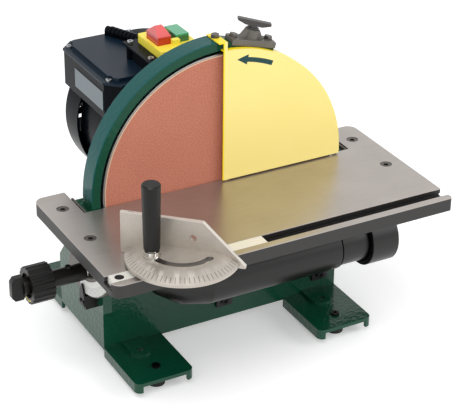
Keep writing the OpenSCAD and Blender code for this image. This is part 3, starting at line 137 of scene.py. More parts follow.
# %% Values
class Value:
    """One number that changes over the surface."""

    def __init__(self, finish, socket):
        self.finish, self.socket = finish, socket

    def math(self, operation, *others):
        """The Math node of one operation on this Value and others."""
        sockets = dict(enumerate((self, *others)))
        return self.finish.node("ShaderNodeMath", dict(operation=operation), sockets)

    def __add__(self, other):
        return self.math("ADD", other)

    def __sub__(self, other):
        return self.math("SUBTRACT", other)

    def __mul__(self, other):
        return self.math("MULTIPLY", other)

    def __truediv__(self, other):
        return self.math("DIVIDE", other)

    def __rsub__(self, other):
        return (self * -1) + other

    __radd__ = __add__
    __rmul__ = __mul__

    def __abs__(self):
        return self.math("ABSOLUTE")

    def __gt__(self, other):
        return self.math("GREATER_THAN", other)

    def __lt__(self, other):
        return self.math("LESS_THAN", other)

    def step(self, low, high):
        """0 below low, 1 above high, straight between."""
        ends = {"Value": self, "From Min": low, "From Max": high}
        return self.finish.node("ShaderNodeMapRange", dict(clamp=True), ends)


print("Value ready")

# %% [markdown]
# ## Finishes
# A real surface is never one even colour: its shade, its gloss and its relief all wander a little. An
# image could carry that, but it would have to be unwrapped onto every piece. Noise on the object's own
# coordinates has no seams, is equally fine on every piece and rides along when a piece moves.

# %% Finishes
MIX_SHARE, MIX_LOW, MIX_HIGH, MIX_RESULT = 0, 6, 7, 2


class Finish:
    """A material with one Principled shader, built from Values."""

    def __init__(self, name, color, roughness, **constants):
        self.material = bpy.data.materials.new(name)
        self.material.use_nodes = True
        self.material.diffuse_color = color
        self.tree = self.material.node_tree
        self.shader = next(n for n in self.tree.nodes if n.type == "BSDF_PRINCIPLED")
        constants.update(Base_Color=color, Roughness=roughness)
        for socket, value in constants.items():
            self.shader.inputs[socket.replace("_", " ")].default_value = value

    def put(self, socket, value):
        """Links a Value to a socket, or sets the socket to a constant."""
        if isinstance(value, Value):
            self.tree.links.new(value.socket, socket)
        else:
            socket.default_value = value

    def node(self, kind, settings=None, sockets=None, out=0):
        """Any node: its type, its settings, then the values or links of its sockets."""
        made = self.tree.nodes.new(kind)
        for key, value in (settings or {}).items():
            setattr(made, key, value)
        for key, value in (sockets or {}).items():
            self.put(made.inputs[key], value)
        return Value(self, made.outputs[out])

    def coords(self):
        """The point on the object, in the object's own frame."""
        return self.node("ShaderNodeTexCoord", out="Object")

    def place(self, origin=Vector((0, 0, 0))):
        """x, y and z of the point on the object, from an origin."""
        xyz = self.tree.nodes.new("ShaderNodeSeparateXYZ")
        self.put(xyz.inputs[0], self.coords())
        return [Value(self, xyz.outputs[i]) - origin[i] for i in range(3)]

    def noise(self, scale, detail=2.0, stretch=(1, 1, 1)):
        """Noise from 0 to 1 with so many bumps per metre, drawn out where stretch is small."""
        mapped = self.node("ShaderNodeMapping", None, {"Vector": self.coords(), "Scale": stretch})
        sockets = {"Vector": mapped, "Scale": scale, "Detail": detail}
        return self.node("ShaderNodeTexNoise", None, sockets)

    def grains(self, scale):
        """Distance to the nearest of many scattered grains."""
        return self.node("ShaderNodeTexVoronoi", None, {"Vector": self.coords(), "Scale": scale})

    def mix(self, share, low, high):
        """A colour between two colours."""
        sockets = {MIX_SHARE: share, MIX_LOW: low, MIX_HIGH: high}
        return self.node("ShaderNodeMix", dict(data_type="RGBA"), sockets, out=MIX_RESULT)

    def vary(self, socket, value):
        """Drives one socket of the shader."""
        self.put(self.shader.inputs[socket], value)

    def bump(self, height, strength, distance):
        """Tilts the surface's normal by a relief so many metres high."""
        sockets = {"Height": height, "Strength": strength, "Distance": distance}
        self.vary("Normal", self.node("ShaderNodeBump", None, sockets))


print("Finish ready")

# %% [markdown]
# ## Shapes on a surface
# Printed lines and masks are all made of a few shapes: a band between two lengths, a radius and an
# angle about an axis, and a row of lines about that axis. They could be decals, but a mask worked out
# from coordinates stays sharp at any distance.

# %% Helpers for masks
FULL_TURN = 360


def around(x, z):
    """Radius, and angle in degrees, of a point in the plane across an axis."""
    return (x * x + z * z).math("SQRT"), z.math("ARCTAN2", x) * (1 / DEGREE)


def band(value, low, high, soft):
    """1 between low and high, with edges that fade over soft."""
    return value.step(low - soft, low) * (1 - value.step(high, high + soft))


def between(value, low, high):
    """A number that runs from low to high as a Value runs from 0 to 1."""
    return value * (high - low) + low


def blend(first, share, second):
    """A share of one Value and the rest of another."""
    return first * share + second * (1 - share)


def lines(radius, angle, gap, core, fade):
    """Lines about an axis, one for every gap in degrees, solid to core and gone by fade."""
    along = ((angle + FULL_TURN) / gap).math("FRACT")
    off = (0.5 - abs(along - 0.5)) * (gap * DEGREE) * radius
    return 1 - off.step(core, fade)


print("mask helpers ready")

# %% [markdown]
# ## Pieces and their bodies
# Every piece that shows rides on one moving body, gets one finish and says which solids it stands
# for. Two helpers do that for all pieces, and they note what they did, so that a solid left without a
# finish can be found at the end.

# %% Keep and dress
STOOD_FOR, DRESSED = set(), set()


def keep(piece, body, slot, *nodes):
    """Gives a finished piece its body and the solids that it stands for. The slot is not used."""
    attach(piece, body)
    if nodes:
        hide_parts(*nodes)
    STOOD_FOR.update(nodes)
    return piece


def dress(finish, *pieces):
    """Gives pieces, or solids by name, one finish."""
    for piece in pieces:
        piece = frame["nodes"][piece] if isinstance(piece, str) else piece
        piece.data.materials.clear()
        piece.data.materials.append(finish.material)
        DRESSED.add(piece.name)


print("keep and dress ready")

# %% [markdown]
# ## Smooth copies
# A solid arrives as triangles, and on a curved wall they show. A copy is merged, its flat faces are
# joined again, and it is shaded smooth below an angle. More triangles would hide the facets too, but
# at a far greater cost. The copy stands for the solid, which stays behind for contact.

# %% Copies
MERGE, FLAT_ANGLE, FLAT_WEIGHT = 0.002 * MM, 0.5 * DEGREE, 100


def only(piece):
    """Makes a piece the one selected and active object."""
    bpy.ops.object.select_all(action="DESELECT")
    piece.select_set(True)
    bpy.context.view_layer.objects.active = piece


def edit_all(*steps):
    """Runs mesh operators on every face of the active piece."""
    bpy.ops.object.mode_set(mode="EDIT")
    bpy.ops.mesh.select_all(action="SELECT")
    for operator, settings in steps:
        operator(**settings)
    bpy.ops.object.mode_set(mode="OBJECT")


def copied(node, name):
    """A merged copy of a solid, as the one selected object."""
    piece = bpy.data.objects.new(name, frame["nodes"][node].data.copy())
    bpy.context.scene.collection.objects.link(piece)
    only(piece)
    bpy.ops.mesh.customdata_custom_splitnormals_clear()
    edit_all(
        (bpy.ops.mesh.remove_doubles, dict(threshold=MERGE)),
        (bpy.ops.mesh.dissolve_limited, dict(angle_limit=FLAT_ANGLE)),
    )
    return piece


def smooth(piece, angle):
    """Shades a piece smooth below an angle, with its large faces left flat to the eye."""
    bpy.ops.object.shade_smooth_by_angle(angle=math.radians(angle))
    flat = piece.modifiers.new("flat_faces", "WEIGHTED_NORMAL")
    flat.keep_sharp = True
    flat.weight = FLAT_WEIGHT
    bpy.ops.object.modifier_apply(modifier=flat.name)


def softened(node, angle):
    """A copy of a solid that keeps its edges and is shaded smooth below an angle in degrees."""
    piece = copied(node, node + "_smooth")
    smooth(piece, angle)
    return keep(piece, BODY_OF[node], SLOT_OF[node], node)


print("copies merge points within", MERGE / MM, "mm")

# %% [markdown]
# ## Rounded edges
# A solid from a drawing has knife-sharp edges, and no cast or moulded piece does. A Bevel node in the
# shader would light the edges but leave the outline sharp, so the mesh itself is rounded. Every edge
# sharper than an angle is marked, so long as the faces beside it leave room, and a Bevel modifier
# rounds the marked ones. Points that then fall together are merged.

# %% Rounding
ROOM = 2.2
ROUND_SEGMENTS, ROUND_ANGLE, CLEAN = 2, 40, 0.001 * MM


def reach(mesh, face, edge):
    """How far a face goes from one of its edges."""
    start, end = (mesh.vertices[v].co for v in edge.vertices)
    along = (end - start).normalized()
    return max((mesh.vertices[v].co - start).cross(along).length for v in face.vertices)


def mark_edges(mesh, width, angle):
    """Marks the edges sharper than an angle whose two faces leave room for a rounding."""
    faces_of = {}
    for face in mesh.polygons:
        for key in face.edge_keys:
            faces_of.setdefault(key, []).append(face)
    marks = mesh.attributes.new("bevel_weight_edge", "FLOAT", "EDGE")
    for edge in mesh.edges:
        faces = faces_of.get(edge.key, [])
        sharp = len(faces) == 2 and faces[0].normal.angle(faces[1].normal, 0) > angle
        if sharp and all(reach(mesh, face, edge) > ROOM * width for face in faces):
            marks.data[edge.index].value = 1.0


def rounded(node, width):
    """A copy of a solid with its edges rounded by a width in millimetres."""
    piece = copied(node, node + "_rounded")
    mark_edges(piece.data, width * MM, ROUND_ANGLE * DEGREE)
    bevel = piece.modifiers.new("rounding", "BEVEL")
    bevel.width = width * MM
    bevel.segments = ROUND_SEGMENTS
    bevel.limit_method = "WEIGHT"
    bevel.use_clamp_overlap = False
    bevel.miter_outer = "MITER_ARC"
    bpy.ops.object.modifier_apply(modifier=bevel.name)
    edit_all(
        (bpy.ops.mesh.remove_doubles, dict(threshold=CLEAN)),
        (bpy.ops.mesh.dissolve_degenerate, dict(threshold=CLEAN)),
    )
    smooth(piece, ROUND_ANGLE)
    return keep(piece, BODY_OF[node], SLOT_OF[node], node)


print("a rounding needs faces", ROOM, "times as deep as it is wide")

# %% [markdown]
# ## Floor and world
# A catalogue picture has a pale floor that fades into a white ground. A curved backdrop is the usual
# way, but a flat floor is enough for a camera that looks down. The world is plain white for the camera
# and for mirror rays, and dimmer for the light that it gives, so that the colours keep their depth.

# %% Floor and world
FLOOR_SIZE = 8
PALE_FLOOR, BLACK, WHITE = srgb(250, 250, 250), (0, 0, 0, 1), (1, 1, 1, 1)
FLOOR_GRAIN, FLOOR_ROUGH = 3, (0.85, 0.95)
FLOOR_LIFT = 0.34
WORLD_LIGHT = 0.66


def seen_level(tree, hidden, shown):
    """A number that is shown for rays that make up the picture and hidden for rays of light."""
    paths = tree.nodes.new("ShaderNodeLightPath")
    total = paths.outputs["Is Camera Ray"]
    for ray in ("Is Glossy Ray", "Is Transmission Ray"):
        larger = tree.nodes.new("ShaderNodeMath")
        larger.operation = "MAXIMUM"
        tree.links.new(total, larger.inputs[0])
        tree.links.new(paths.outputs[ray], larger.inputs[1])
        total = larger.outputs[0]
    level = tree.nodes.new("ShaderNodeMapRange")
    level.inputs["To Min"].default_value = hidden
    level.inputs["To Max"].default_value = shown
    tree.links.new(total, level.inputs["Value"])
    return level.outputs[0]


def pale_floor():
    """A matt floor that glows a little where the camera sees it, so that it fades to white."""
    finish = Finish(
        "studio_floor", PALE_FLOOR, roughness=0.9, Specular_IOR_Level=0.0, Emission_Strength=1.0
    )
    finish.vary("Roughness", between(finish.noise(FLOOR_GRAIN), *FLOOR_ROUGH))
    lift = Value(finish, seen_level(finish.tree, 0.0, FLOOR_LIFT))
    finish.vary("Emission Color", finish.mix(lift, BLACK, PALE_FLOOR))
    return finish


bpy.ops.mesh.primitive_plane_add(size=FLOOR_SIZE, location=(0, 0, 0))
floor = bpy.context.object
floor.name = "studio_floor"
dress(pale_floor(), floor)

world = bpy.data.worlds.new("studio")
world.use_nodes = True
bpy.context.scene.world = world
background = world.node_tree.nodes["Background"]
background.inputs["Color"].default_value = WHITE
world_level = seen_level(world.node_tree, WORLD_LIGHT, 1.0)
world.node_tree.links.new(world_level, background.inputs["Strength"])
print("floor and world")

# %% [markdown]
# ## Lamps
# Large soft boxes give broad highlights and soft shadows, where a sun or a point lamp would leave hard
# edges. Two square area lamps do here: the stronger hangs high on the left, and the weaker one opens
# up the sides that are in shade.

# %% Lamps
KEY = dict(place=(-0.9, -1.1, 2.3), size=1.6, power=31)
FILL = dict(place=(1.7, -1.5, 1.2), size=1.2, power=14)


def softbox(name, place, size, power):
    """A square area lamp that looks at the disc's middle."""
    light = bpy.data.lights.new(name, "AREA")
    light.size = size
    light.energy = power
    lamp = bpy.data.objects.new(name, light)
    bpy.context.scene.collection.objects.link(lamp)
    lamp.location = place
    lamp.rotation_euler = (AXIS - Vector(place)).to_track_quat("-Z", "Y").to_euler()


softbox("key", **KEY)
softbox("fill", **FILL)
bpy.context.scene.view_settings.view_transform = "Standard"
print("two lamps,", KEY["power"], "and", FILL["power"], "watts")

# %% [markdown]
# ## Castings in green enamel
# The base, the disc housing and the supports are grey iron under a thick glossy coat. Enamel flows
# before it dries, so it keeps an orange peel that breaks up every reflection. Peel is too fine to
# model, so it is noise in the bump. The outside of the housing's ring carries a plain teal band, which
# is a mask in radius about the disc's axis.

# %% Green enamel
RING_SKIN, RING_FADE, RISE_FADE = 168.5 * MM, 0.5 * MM, 2 * MM
ENAMEL, RING_TEAL = srgb(10, 66, 50), srgb(10, 82, 80)
ENAMEL_DARK, ENAMEL_PALE = srgb(9, 64, 46), srgb(15, 78, 56)
PATCH_GRAIN, PEEL_GRAIN = 22, 190
PEEL_STRENGTH, PEEL_DEPTH = 0.7, 0.8 * MM
ENAMEL_ROUGH = (0.1, 0.18)


def green_enamel(name, gloss):
    """Enamel of one gloss, teal wherever the surface lies on the ring's outside."""
    finish = Finish(name, ENAMEL, roughness=0.2, Specular_IOR_Level=gloss)
    x, _, z = finish.place(AXIS)
    peel = finish.noise(PEEL_GRAIN, detail=3)
    patch = finish.noise(PATCH_GRAIN, detail=3)
    skin = finish.mix(patch, ENAMEL_DARK, ENAMEL_PALE)
    radius, _ = around(x, z)
    on_ring = radius.step(RING_SKIN, RING_SKIN + RING_FADE) * z.step(0, RISE_FADE)
    finish.vary("Base Color", finish.mix(on_ring, skin, RING_TEAL))
    finish.vary("Roughness", between(patch, *ENAMEL_ROUGH))
    finish.bump(peel, PEEL_STRENGTH, PEEL_DEPTH)
    return finish


base_enamel = green_enamel("base_enamel", gloss=0.38)
base = rounded("base_casting", width=0.45)
dress(base_enamel, base, "trunnion_support_left", "trunnion_support_right")
dress(green_enamel("housing_enamel", gloss=0.2), rounded("disc_housing", width=0.6))
print("enamelled base, housing and supports")

# %% [markdown]
# ## Ground table
# Only the top of the table is ground bright. Its sides, its underside and the mitre slot keep the dark
# cast skin. Grinding leaves long scratches along the table, so the noise is drawn out along X. Two
# materials on chosen faces could part the finishes, but the height alone does it with one.

# %% Table
GROUND_LOW, GROUND_HIGH = -1.2 * MM, -0.5 * MM
SCRATCH_GRAIN, SCRATCH_DRAWN = 900, (0.03, 1, 1)
TABLE_CLOUD, CAST_GRAIN = 14, 400
GROUND_DARK, GROUND_PALE, CAST_SKIN = srgb(150, 143, 138), srgb(198, 191, 186), srgb(34, 32, 31)
GROUND_METAL = 0.8
CAST_ROUGH, GROUND_SMOOTHER, SCRATCH_ROUGH, CLOUD_ROUGH = 0.5, 0.29, 0.12, 0.08
SCRATCH_RELIEF, TABLE_BUMP, TABLE_DEPTH = 0.3, 0.12, 0.3 * MM


def ground_iron():
    """Bright ground iron on top, with a dark cast skin below."""
    finish = Finish("ground_iron", srgb(176, 170, 162), roughness=0.3)
    z = finish.place(TILT)[2]
    ground = z.step(GROUND_LOW, GROUND_HIGH)
    scratch = finish.noise(SCRATCH_GRAIN, detail=3, stretch=SCRATCH_DRAWN)
    cloud = finish.noise(TABLE_CLOUD, detail=3)
    top = finish.mix(blend(scratch, 0.5, cloud), GROUND_DARK, GROUND_PALE)
    finish.vary("Base Color", finish.mix(ground, CAST_SKIN, top))
    finish.vary("Metallic", ground * GROUND_METAL)
    marks = scratch * SCRATCH_ROUGH + cloud * CLOUD_ROUGH - GROUND_SMOOTHER
    finish.vary("Roughness", ground * marks + CAST_ROUGH)
    relief = scratch * ground * SCRATCH_RELIEF + finish.noise(CAST_GRAIN) * (1 - ground)
    finish.bump(relief, TABLE_BUMP, TABLE_DEPTH)
    return finish


dress(ground_iron(), rounded("sanding_table", width=0.5))
print("table top at", round(TILT.z / MM), "mm")

# %% [markdown]
# ## Mitre gauge
# The gauge head is an alloy die casting with degrees cut into its rim, here one dark line for every
# five degrees about the swivel. Grooves could be modelled, but from this far they are only dark
# strokes, so a mask draws them. The top and the slope of its fence get a painted highlight, paler
# than the rest, and the floor of its curved slot is painted in shade.

# %% Gauge head
FENCE_TURN = math.radians(-43)
FENCE_HALF, FENCE_TOP, FENCE_HIGH, FENCE_TIP = 71 * MM, 23 * MM, 51 * MM, 3.3 * MM
FENCE_SLOPE = math.atan2(FENCE_HIGH - FENCE_TIP, FENCE_HALF - FENCE_TOP)
# Heights past the fence's top and slope over which its painted highlight fades in.
HIGHLIGHT_LOW, HIGHLIGHT_HIGH = -0.7 * MM, -0.3 * MM
CLAMP_RADIUS, CLAMP_HALF, FENCE_CLEAR = 37.5 * MM, 5.5 * MM, -3 * MM
SLOT_TOP = 15.6 * MM
RIM_GAP, RIM_CORE, RIM_LINE_FADE = 5, 0.25 * MM, 0.5 * MM
RIM_INNER, RIM_OUTER, RIM_FADE = 56 * MM, 62.5 * MM, 0.3 * MM
# The third alloy colour is a painted highlight for the fence's top and slope.
ALLOY_DARK, ALLOY_PALE, ALLOY_HIGHLIGHT = srgb(156, 149, 140), srgb(204, 196, 186), srgb(216, 210, 201)
SLOT_SHADE, LINE_GREY = srgb(96, 90, 84), srgb(112, 106, 99)
ALLOY_CLOUD, ALLOY_GRAIN, ALLOY_ROUGH = 40, 500, (0.34, 0.49)
ALLOY_BUMP, ALLOY_DEPTH = 0.16, 0.4 * MM


def cast_alloy():
    """Die-cast alloy with a divided rim, a painted highlight on the fence and painted shade in the slot."""
    finish = Finish("cast_alloy", srgb(176, 170, 162), roughness=0.4, Metallic=0.6)
    x, y, z = finish.place(Vector((PIVOT.x, PIVOT.y, TILT.z)))
    radius, angle = around(x, y)
    divided = lines(radius, angle, RIM_GAP, RIM_CORE, RIM_LINE_FADE)
    divided = divided * band(radius, RIM_INNER, RIM_OUTER, RIM_FADE)
    along = x * math.cos(FENCE_TURN) + y * math.sin(FENCE_TURN)
    across = y * math.cos(FENCE_TURN) - x * math.sin(FENCE_TURN)
    past = (along - FENCE_TOP) * math.sin(FENCE_SLOPE) + (z - FENCE_HIGH) * math.cos(FENCE_SLOPE)
    # Painted highlight: near the fence's top and slope the alloy is made paler, as where light catches it.
    fence_highlight = past.math("MAXIMUM", z - FENCE_HIGH).step(HIGHLIGHT_LOW, HIGHLIGHT_HIGH)
    # Painted shade: the floor of the curved slot, below the web, is darkened as if in shadow.
    slot = (abs(radius - CLAMP_RADIUS) < CLAMP_HALF) * (z < SLOT_TOP) * (across < FENCE_CLEAR)
    grain = finish.noise(ALLOY_GRAIN, detail=3)
    cloud = finish.noise(ALLOY_CLOUD)
    skin = finish.mix(blend(cloud, 0.6, grain), ALLOY_DARK, ALLOY_PALE)
    # Paints the fence's highlight over the alloy.
    skin = finish.mix(fence_highlight, skin, ALLOY_HIGHLIGHT)
    # Paints the slot's shade over the alloy.
    skin = finish.mix(slot, skin, SLOT_SHADE)
    finish.vary("Base Color", finish.mix(divided, skin, LINE_GREY))
    finish.vary("Roughness", between(cloud, *ALLOY_ROUGH))
    finish.bump(grain, ALLOY_BUMP, ALLOY_DEPTH)
    return finish


dress(cast_alloy(), softened("mitre_head", angle=35))
print("gauge head with a line every", RIM_GAP, "degrees")

# %% [markdown]
# ## Worked steel
# Turned, drawn and rolled steel all shine, and all keep the fine marks of the tool. The marks are far
# too fine to model, so one noise moves colour, gloss and relief together. For the drawn bar it is
# pulled out along the bar's length.

# %% Worked steel
MARK_GRAIN, MARK_DARK, MARK_ROUGH = 1400, 0.85, 0.05
MARK_BUMP, MARK_DEPTH = 0.02, 0.1 * MM
DRAWN_OUT = (0.05, 1, 1)


def worked_steel(name, color, roughness, stretch=(1, 1, 1), metal=1.0):
    """Steel with fine marks of the tool."""
    finish = Finish(name, color, roughness, Metallic=metal)
    marks = finish.noise(MARK_GRAIN, stretch=stretch)
    finish.vary("Base Color", finish.mix(marks, tinted(color, MARK_DARK), color))
    finish.vary("Roughness", between(marks, roughness - MARK_ROUGH, roughness + MARK_ROUGH))
    finish.bump(marks, MARK_BUMP, MARK_DEPTH)
    return finish


bright = worked_steel("bright_steel", srgb(212, 209, 203), roughness=0.16)
drawn = worked_steel("drawn_steel", srgb(240, 238, 230), roughness=0.35, stretch=DRAWN_OUT, metal=0.3)
dress(drawn, "mitre_bar")
dress(bright, "clamp_stud", "mitre_pivot_pin", "tilt_shaft", "tilt_pinion", "motor_shaft")
dress(bright, "guide_bolts", "motor_bearings", "rotor_core", "stator_core", "brake_spring")
print("bar, stud, pins and shafts in steel")

# %% [markdown]
# ## Moulded plastic and paint
# Moulded plastic has a fine even grain from the tool, and paint on steel sheet is smoother. One helper
# makes both: a colour that wanders a little, a roughness that wanders with it, and a small grain.

# %% Black plastic
SKIN_CLOUD, SKIN_SHARE, SKIN_ROUGH, SKIN_BUMP = 30, 0.7, 0.05, 0.2
HANDLE_BLACK = srgb(15, 13, 12)
HANDLE = dict(roughness=0.36, grain=300, depth=0.15, spread=0.4, Specular_IOR_Level=0.26)


def grained(name, color, roughness, grain, depth, spread=0.18, **constants):
    """A matt or glossy skin with so many grains per metre and a relief depth in millimetres."""
    finish = Finish(name, color, roughness, **constants)
    fine = finish.noise(grain)
    cloud = finish.noise(SKIN_CLOUD)
    share = blend(cloud, SKIN_SHARE, fine)
    skin = finish.mix(share, tinted(color, 1 - spread), tinted(color, 1 + spread))
    finish.vary("Base Color", skin)
    finish.vary("Roughness", between(cloud, roughness - SKIN_ROUGH, roughness + SKIN_ROUGH))
    finish.bump(fine, SKIN_BUMP, depth * MM)
    return finish


chute_plastic = grained(
    "chute_plastic", srgb(20, 19, 18), roughness=0.34, grain=900, depth=0.1, Specular_IOR_Level=0.4
)
chute = softened("dust_chute", angle=50)
dress(chute_plastic, chute, rounded("dust_outlet", width=0.6), "cooling_fan")
handle_black = grained("handle_black", HANDLE_BLACK, **HANDLE)
wing = rounded("lock_wing", width=0.6)
dress(handle_black, wing, rounded("clamp_handle", width=0.6), "pointer_block")
print("chute, outlet, wing and handle in black plastic")

# %% [markdown]
# ## Knob with its mark
# The knob is of the same plastic as the handles, with a short yellow line on its end. The line could
# be a thin strip of mesh. A mask in radius and angle about the knob's axis adds no faces, and it turns
# with the knob.

# %% Knob with its mark
KNOB_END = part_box("tilt_knob")[0][0]
MARK_INNER, MARK_OUTER, MARK_FADE = 17.6 * MM, 18.8 * MM, 0.2 * MM
MARK_FROM, MARK_TO, MARK_TURN_FADE = -125, -50, 2
MARK_REACH = 0.3 * MM
MARK_YELLOW = srgb(232, 208, 60)


def knob_black():
    """The handles' plastic with a short yellow line printed on the knob's end."""
    finish = grained("knob_black", HANDLE_BLACK, **HANDLE)
    x, y, z = finish.place(KNOB)
    radius, angle = around(y, z)
    mark = band(radius, MARK_INNER, MARK_OUTER, MARK_FADE)
    mark = mark * band(angle, MARK_FROM, MARK_TO, MARK_TURN_FADE)
    mark = mark * (x < KNOB_END - KNOB.x + MARK_REACH)
    finish.vary("Base Color", finish.mix(mark, HANDLE_BLACK, MARK_YELLOW))
    return finish


dress(knob_black(), rounded("tilt_knob", width=0.4))
print("knob marked from", MARK_FROM, "to", MARK_TO, "degrees")

# %% [markdown]
# ## Painted motor and switch
# The motor and its boxes wear a dark gloss paint, and the switch's plate is yellow plastic. The same
# helper does for all of them, with another colour, gloss and grain. Only the boxes and the lid get
# rounded copies, since their long straight edges are the ones that catch the light.

# %% Painted motor and switch
motor_paint = grained(
    "motor_paint", srgb(10, 14, 19), roughness=0.26, grain=500, depth=0.1, Specular_IOR_Level=0.05
)
boxes = [rounded("terminal_box", width=0.5), rounded("switch_box", width=0.5)]
shells = ["motor_shell", "drive_end_shield", "rear_shield", "fan_cover", "switch_lead"]
dress(motor_paint, *boxes, *shells)
lid_paint = grained(
    "lid_paint", srgb(16, 32, 46), roughness=0.34, grain=500, depth=0.15, Specular_IOR_Level=0.16
)
dress(lid_paint, rounded("terminal_box_lid", width=0.6))
switch_yellow = grained(
    "switch_yellow", srgb(252, 232, 78), roughness=0.34, grain=900, depth=0.05, spread=0.05
)
dress(switch_yellow, softened("switch_plate", angle=35))
print("motor, boxes and switch plate painted")

# %% [markdown]
# ## Buttons and feet
# The buttons are clear coloured plastic that looks paler in the cap, where light comes through. True
# translucency is slow to render, so a change of colour at one height stands for it, under a clear
# coat. The feet are plain dull rubber.

# %% Buttons and feet
CAP_FADE, BUTTON_CLOUD, BUTTON_WANDER = 1 * MM, 60, 0.3


def button_plastic(name, node, cap, skirt, cap_share):
    """Clear coloured plastic, paler in its cap, which starts at a share of the button's height."""
    low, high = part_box(node)
    part = low[2] + (high[2] - low[2]) * cap_share
    finish = grained(name, cap, roughness=0.22, grain=700, depth=0.05, Coat_Weight=0.5)
    z = finish.place()[2]
    cloud = finish.noise(BUTTON_CLOUD)
    shade = finish.mix(z.step(part - CAP_FADE, part + CAP_FADE), skirt, cap)
    finish.vary("Base Color", finish.mix(cloud * BUTTON_WANDER, shade, skirt))
    return finish


stop_red = button_plastic("stop_red", "stop_button", srgb(232, 98, 98), srgb(190, 36, 26), 0.78)
dress(stop_red, rounded("stop_button", width=0.8))
start_green = button_plastic(
    "start_green", "start_button", srgb(62, 172, 122), srgb(24, 104, 70), 0.94
)
dress(start_green, rounded("start_button", width=0.4))
dress(grained("rubber", srgb(30, 30, 30), roughness=0.75, grain=1200, depth=0.2), "rubber_feet")
print("two buttons and the rubber feet")

# %% [markdown]
# ## Guard sheet
# The guard is folded steel sheet in a gloss yellow. Its flat face is painted pale, as where the light
# falls full on it, and its bent edges a deeper yellow, as painted shade. An arrow for the way the disc
# turns is printed near its rim. A flat decal would have to be bent to follow the rim, so the arrow is
# a mask in radius and angle about the disc's axis.

# %% Guard
ARROW_RADIUS, ARROW_HALF = 148 * MM, 3 * MM
SHAFT_FROM, SHAFT_TO, SHAFT_FADE = 65, 79, 0.3
HEAD_FROM, HEAD_TIP, HEAD_FADE = 78.5, 84, 0.2
HEAD_HALF, HEAD_EDGE = 6.3 * MM, 0.2 * MM
BEND_LOW, BEND_HIGH = -7.6 * MM, -6.8 * MM
LIP_LOW, LIP_HIGH = -1 * MM, -0.2 * MM
# The face colours are painted pale as if fully lit, and the bent edges' deeper yellow is painted shade.
GUARD_DARK, GUARD_PALE = srgb(252, 231, 136), srgb(255, 235, 150)
GUARD_BENT_SHADE, ARROW_TEAL = srgb(255, 226, 40), srgb(6, 62, 64)
GUARD_CLOUD, GUARD_GRAIN, GUARD_ROUGH = 18, 180, (0.2, 0.28)
GUARD_BUMP, GUARD_DEPTH = 0.06, 0.3 * MM


def guard_yellow():
    """Gloss yellow with a printed arrow, painted pale on the face as if fully lit and deeper on the bent edges as
    painted shade.
    """
    finish = Finish("guard_yellow", srgb(250, 232, 130), roughness=0.26, Specular_IOR_Level=0.3)
    x, y, z = finish.place(AXIS)
    radius, angle = around(x, z)
    off = abs(radius - ARROW_RADIUS)
    shaft = band(angle, SHAFT_FROM, SHAFT_TO, SHAFT_FADE) * (off < ARROW_HALF)
    head_half = (HEAD_TIP - angle) * (HEAD_HALF / (HEAD_TIP - HEAD_FROM))
    inside = 1 - (off - head_half).step(-HEAD_EDGE, HEAD_EDGE)
    head = band(angle, HEAD_FROM, HEAD_TIP, HEAD_FADE) * inside
    # Painted shade: the bent edges get the deeper yellow, and the flat face keeps the pale lit colour.
    bent_shade = y.step(BEND_LOW, BEND_HIGH).math("MAXIMUM", 1 - x.step(LIP_LOW, LIP_HIGH))
    cloud = finish.noise(GUARD_CLOUD)
    # Paints the bent edges' shade over the pale lit face.
    skin = finish.mix(bent_shade, finish.mix(cloud, GUARD_DARK, GUARD_PALE), GUARD_BENT_SHADE)
    finish.vary("Base Color", finish.mix(shaft.math("MAXIMUM", head), skin, ARROW_TEAL))
    finish.vary("Roughness", between(cloud, *GUARD_ROUGH))
    finish.bump(finish.noise(GUARD_GRAIN), GUARD_BUMP, GUARD_DEPTH)
    return finish


dress(guard_yellow(), rounded("disc_guard", width=0.3))
print("guard arrow centred on", round(ARROW_RADIUS / MM), "mm radius")

# %% [markdown]
# ## Abrasive disc
# Grit is scattered over the disc in resin. Grains of mesh would take millions of faces, so noise gives
# them their shades and a cell pattern gives them a small bump. The cut edge of the sheet is paler than
# its face.

# %% Abrasive and disc
GRIT, FINE_GRAIN, GRIT_CLOUD = 700, 1500, 20
SPECKLE_GRAIN, SPECKLE_LOW, SPECKLE_HIGH = 620, 0.3, 0.7
SPECKLE_SHARE, FINE_SHARE, CLOUD_SHARE = 0.4, 0.4, 0.2
CUT_LOW, CUT_HIGH = 151.7 * MM, 152.1 * MM
GRIT_DARK, GRIT_PALE, CUT_EDGE = srgb(162, 88, 67), srgb(214, 142, 117), srgb(226, 196, 168)
GRIT_ROUGH = (0.8, 0.9)
GRIT_BUMP, GRIT_DEPTH = 0.5, 0.4 * MM


def abrasive():
    """Speckled grit with a pale cut edge."""
    finish = Finish("abrasive", srgb(200, 122, 98), roughness=0.85)
    x, _, z = finish.place(AXIS)
    fine = finish.noise(FINE_GRAIN, detail=3)
    cloud = finish.noise(GRIT_CLOUD)
    speckle = finish.noise(SPECKLE_GRAIN, detail=1).step(SPECKLE_LOW, SPECKLE_HIGH)
    share = speckle * SPECKLE_SHARE + fine * FINE_SHARE + cloud * CLOUD_SHARE
    edge = around(x, z)[0].step(CUT_LOW, CUT_HIGH)
    finish.vary("Base Color", finish.mix(edge, finish.mix(share, GRIT_DARK, GRIT_PALE), CUT_EDGE))
    finish.vary("Roughness", between(fine, *GRIT_ROUGH))
    finish.bump(finish.grains(GRIT), GRIT_BUMP, GRIT_DEPTH)
    return finish


dress(abrasive(), "abrasive_disc")
dress(worked_steel("disc_alloy", srgb(176, 176, 178), roughness=0.4), "disc_plate")
print("abrasive with", GRIT, "grains per metre")

# %% [markdown]
# ## Angle scale
# The scale on the trunnion is a white strip with dark lines about the tilt axis, one for every two and
# a half degrees. The helper that divides the gauge's rim draws them, so the two scales look alike.

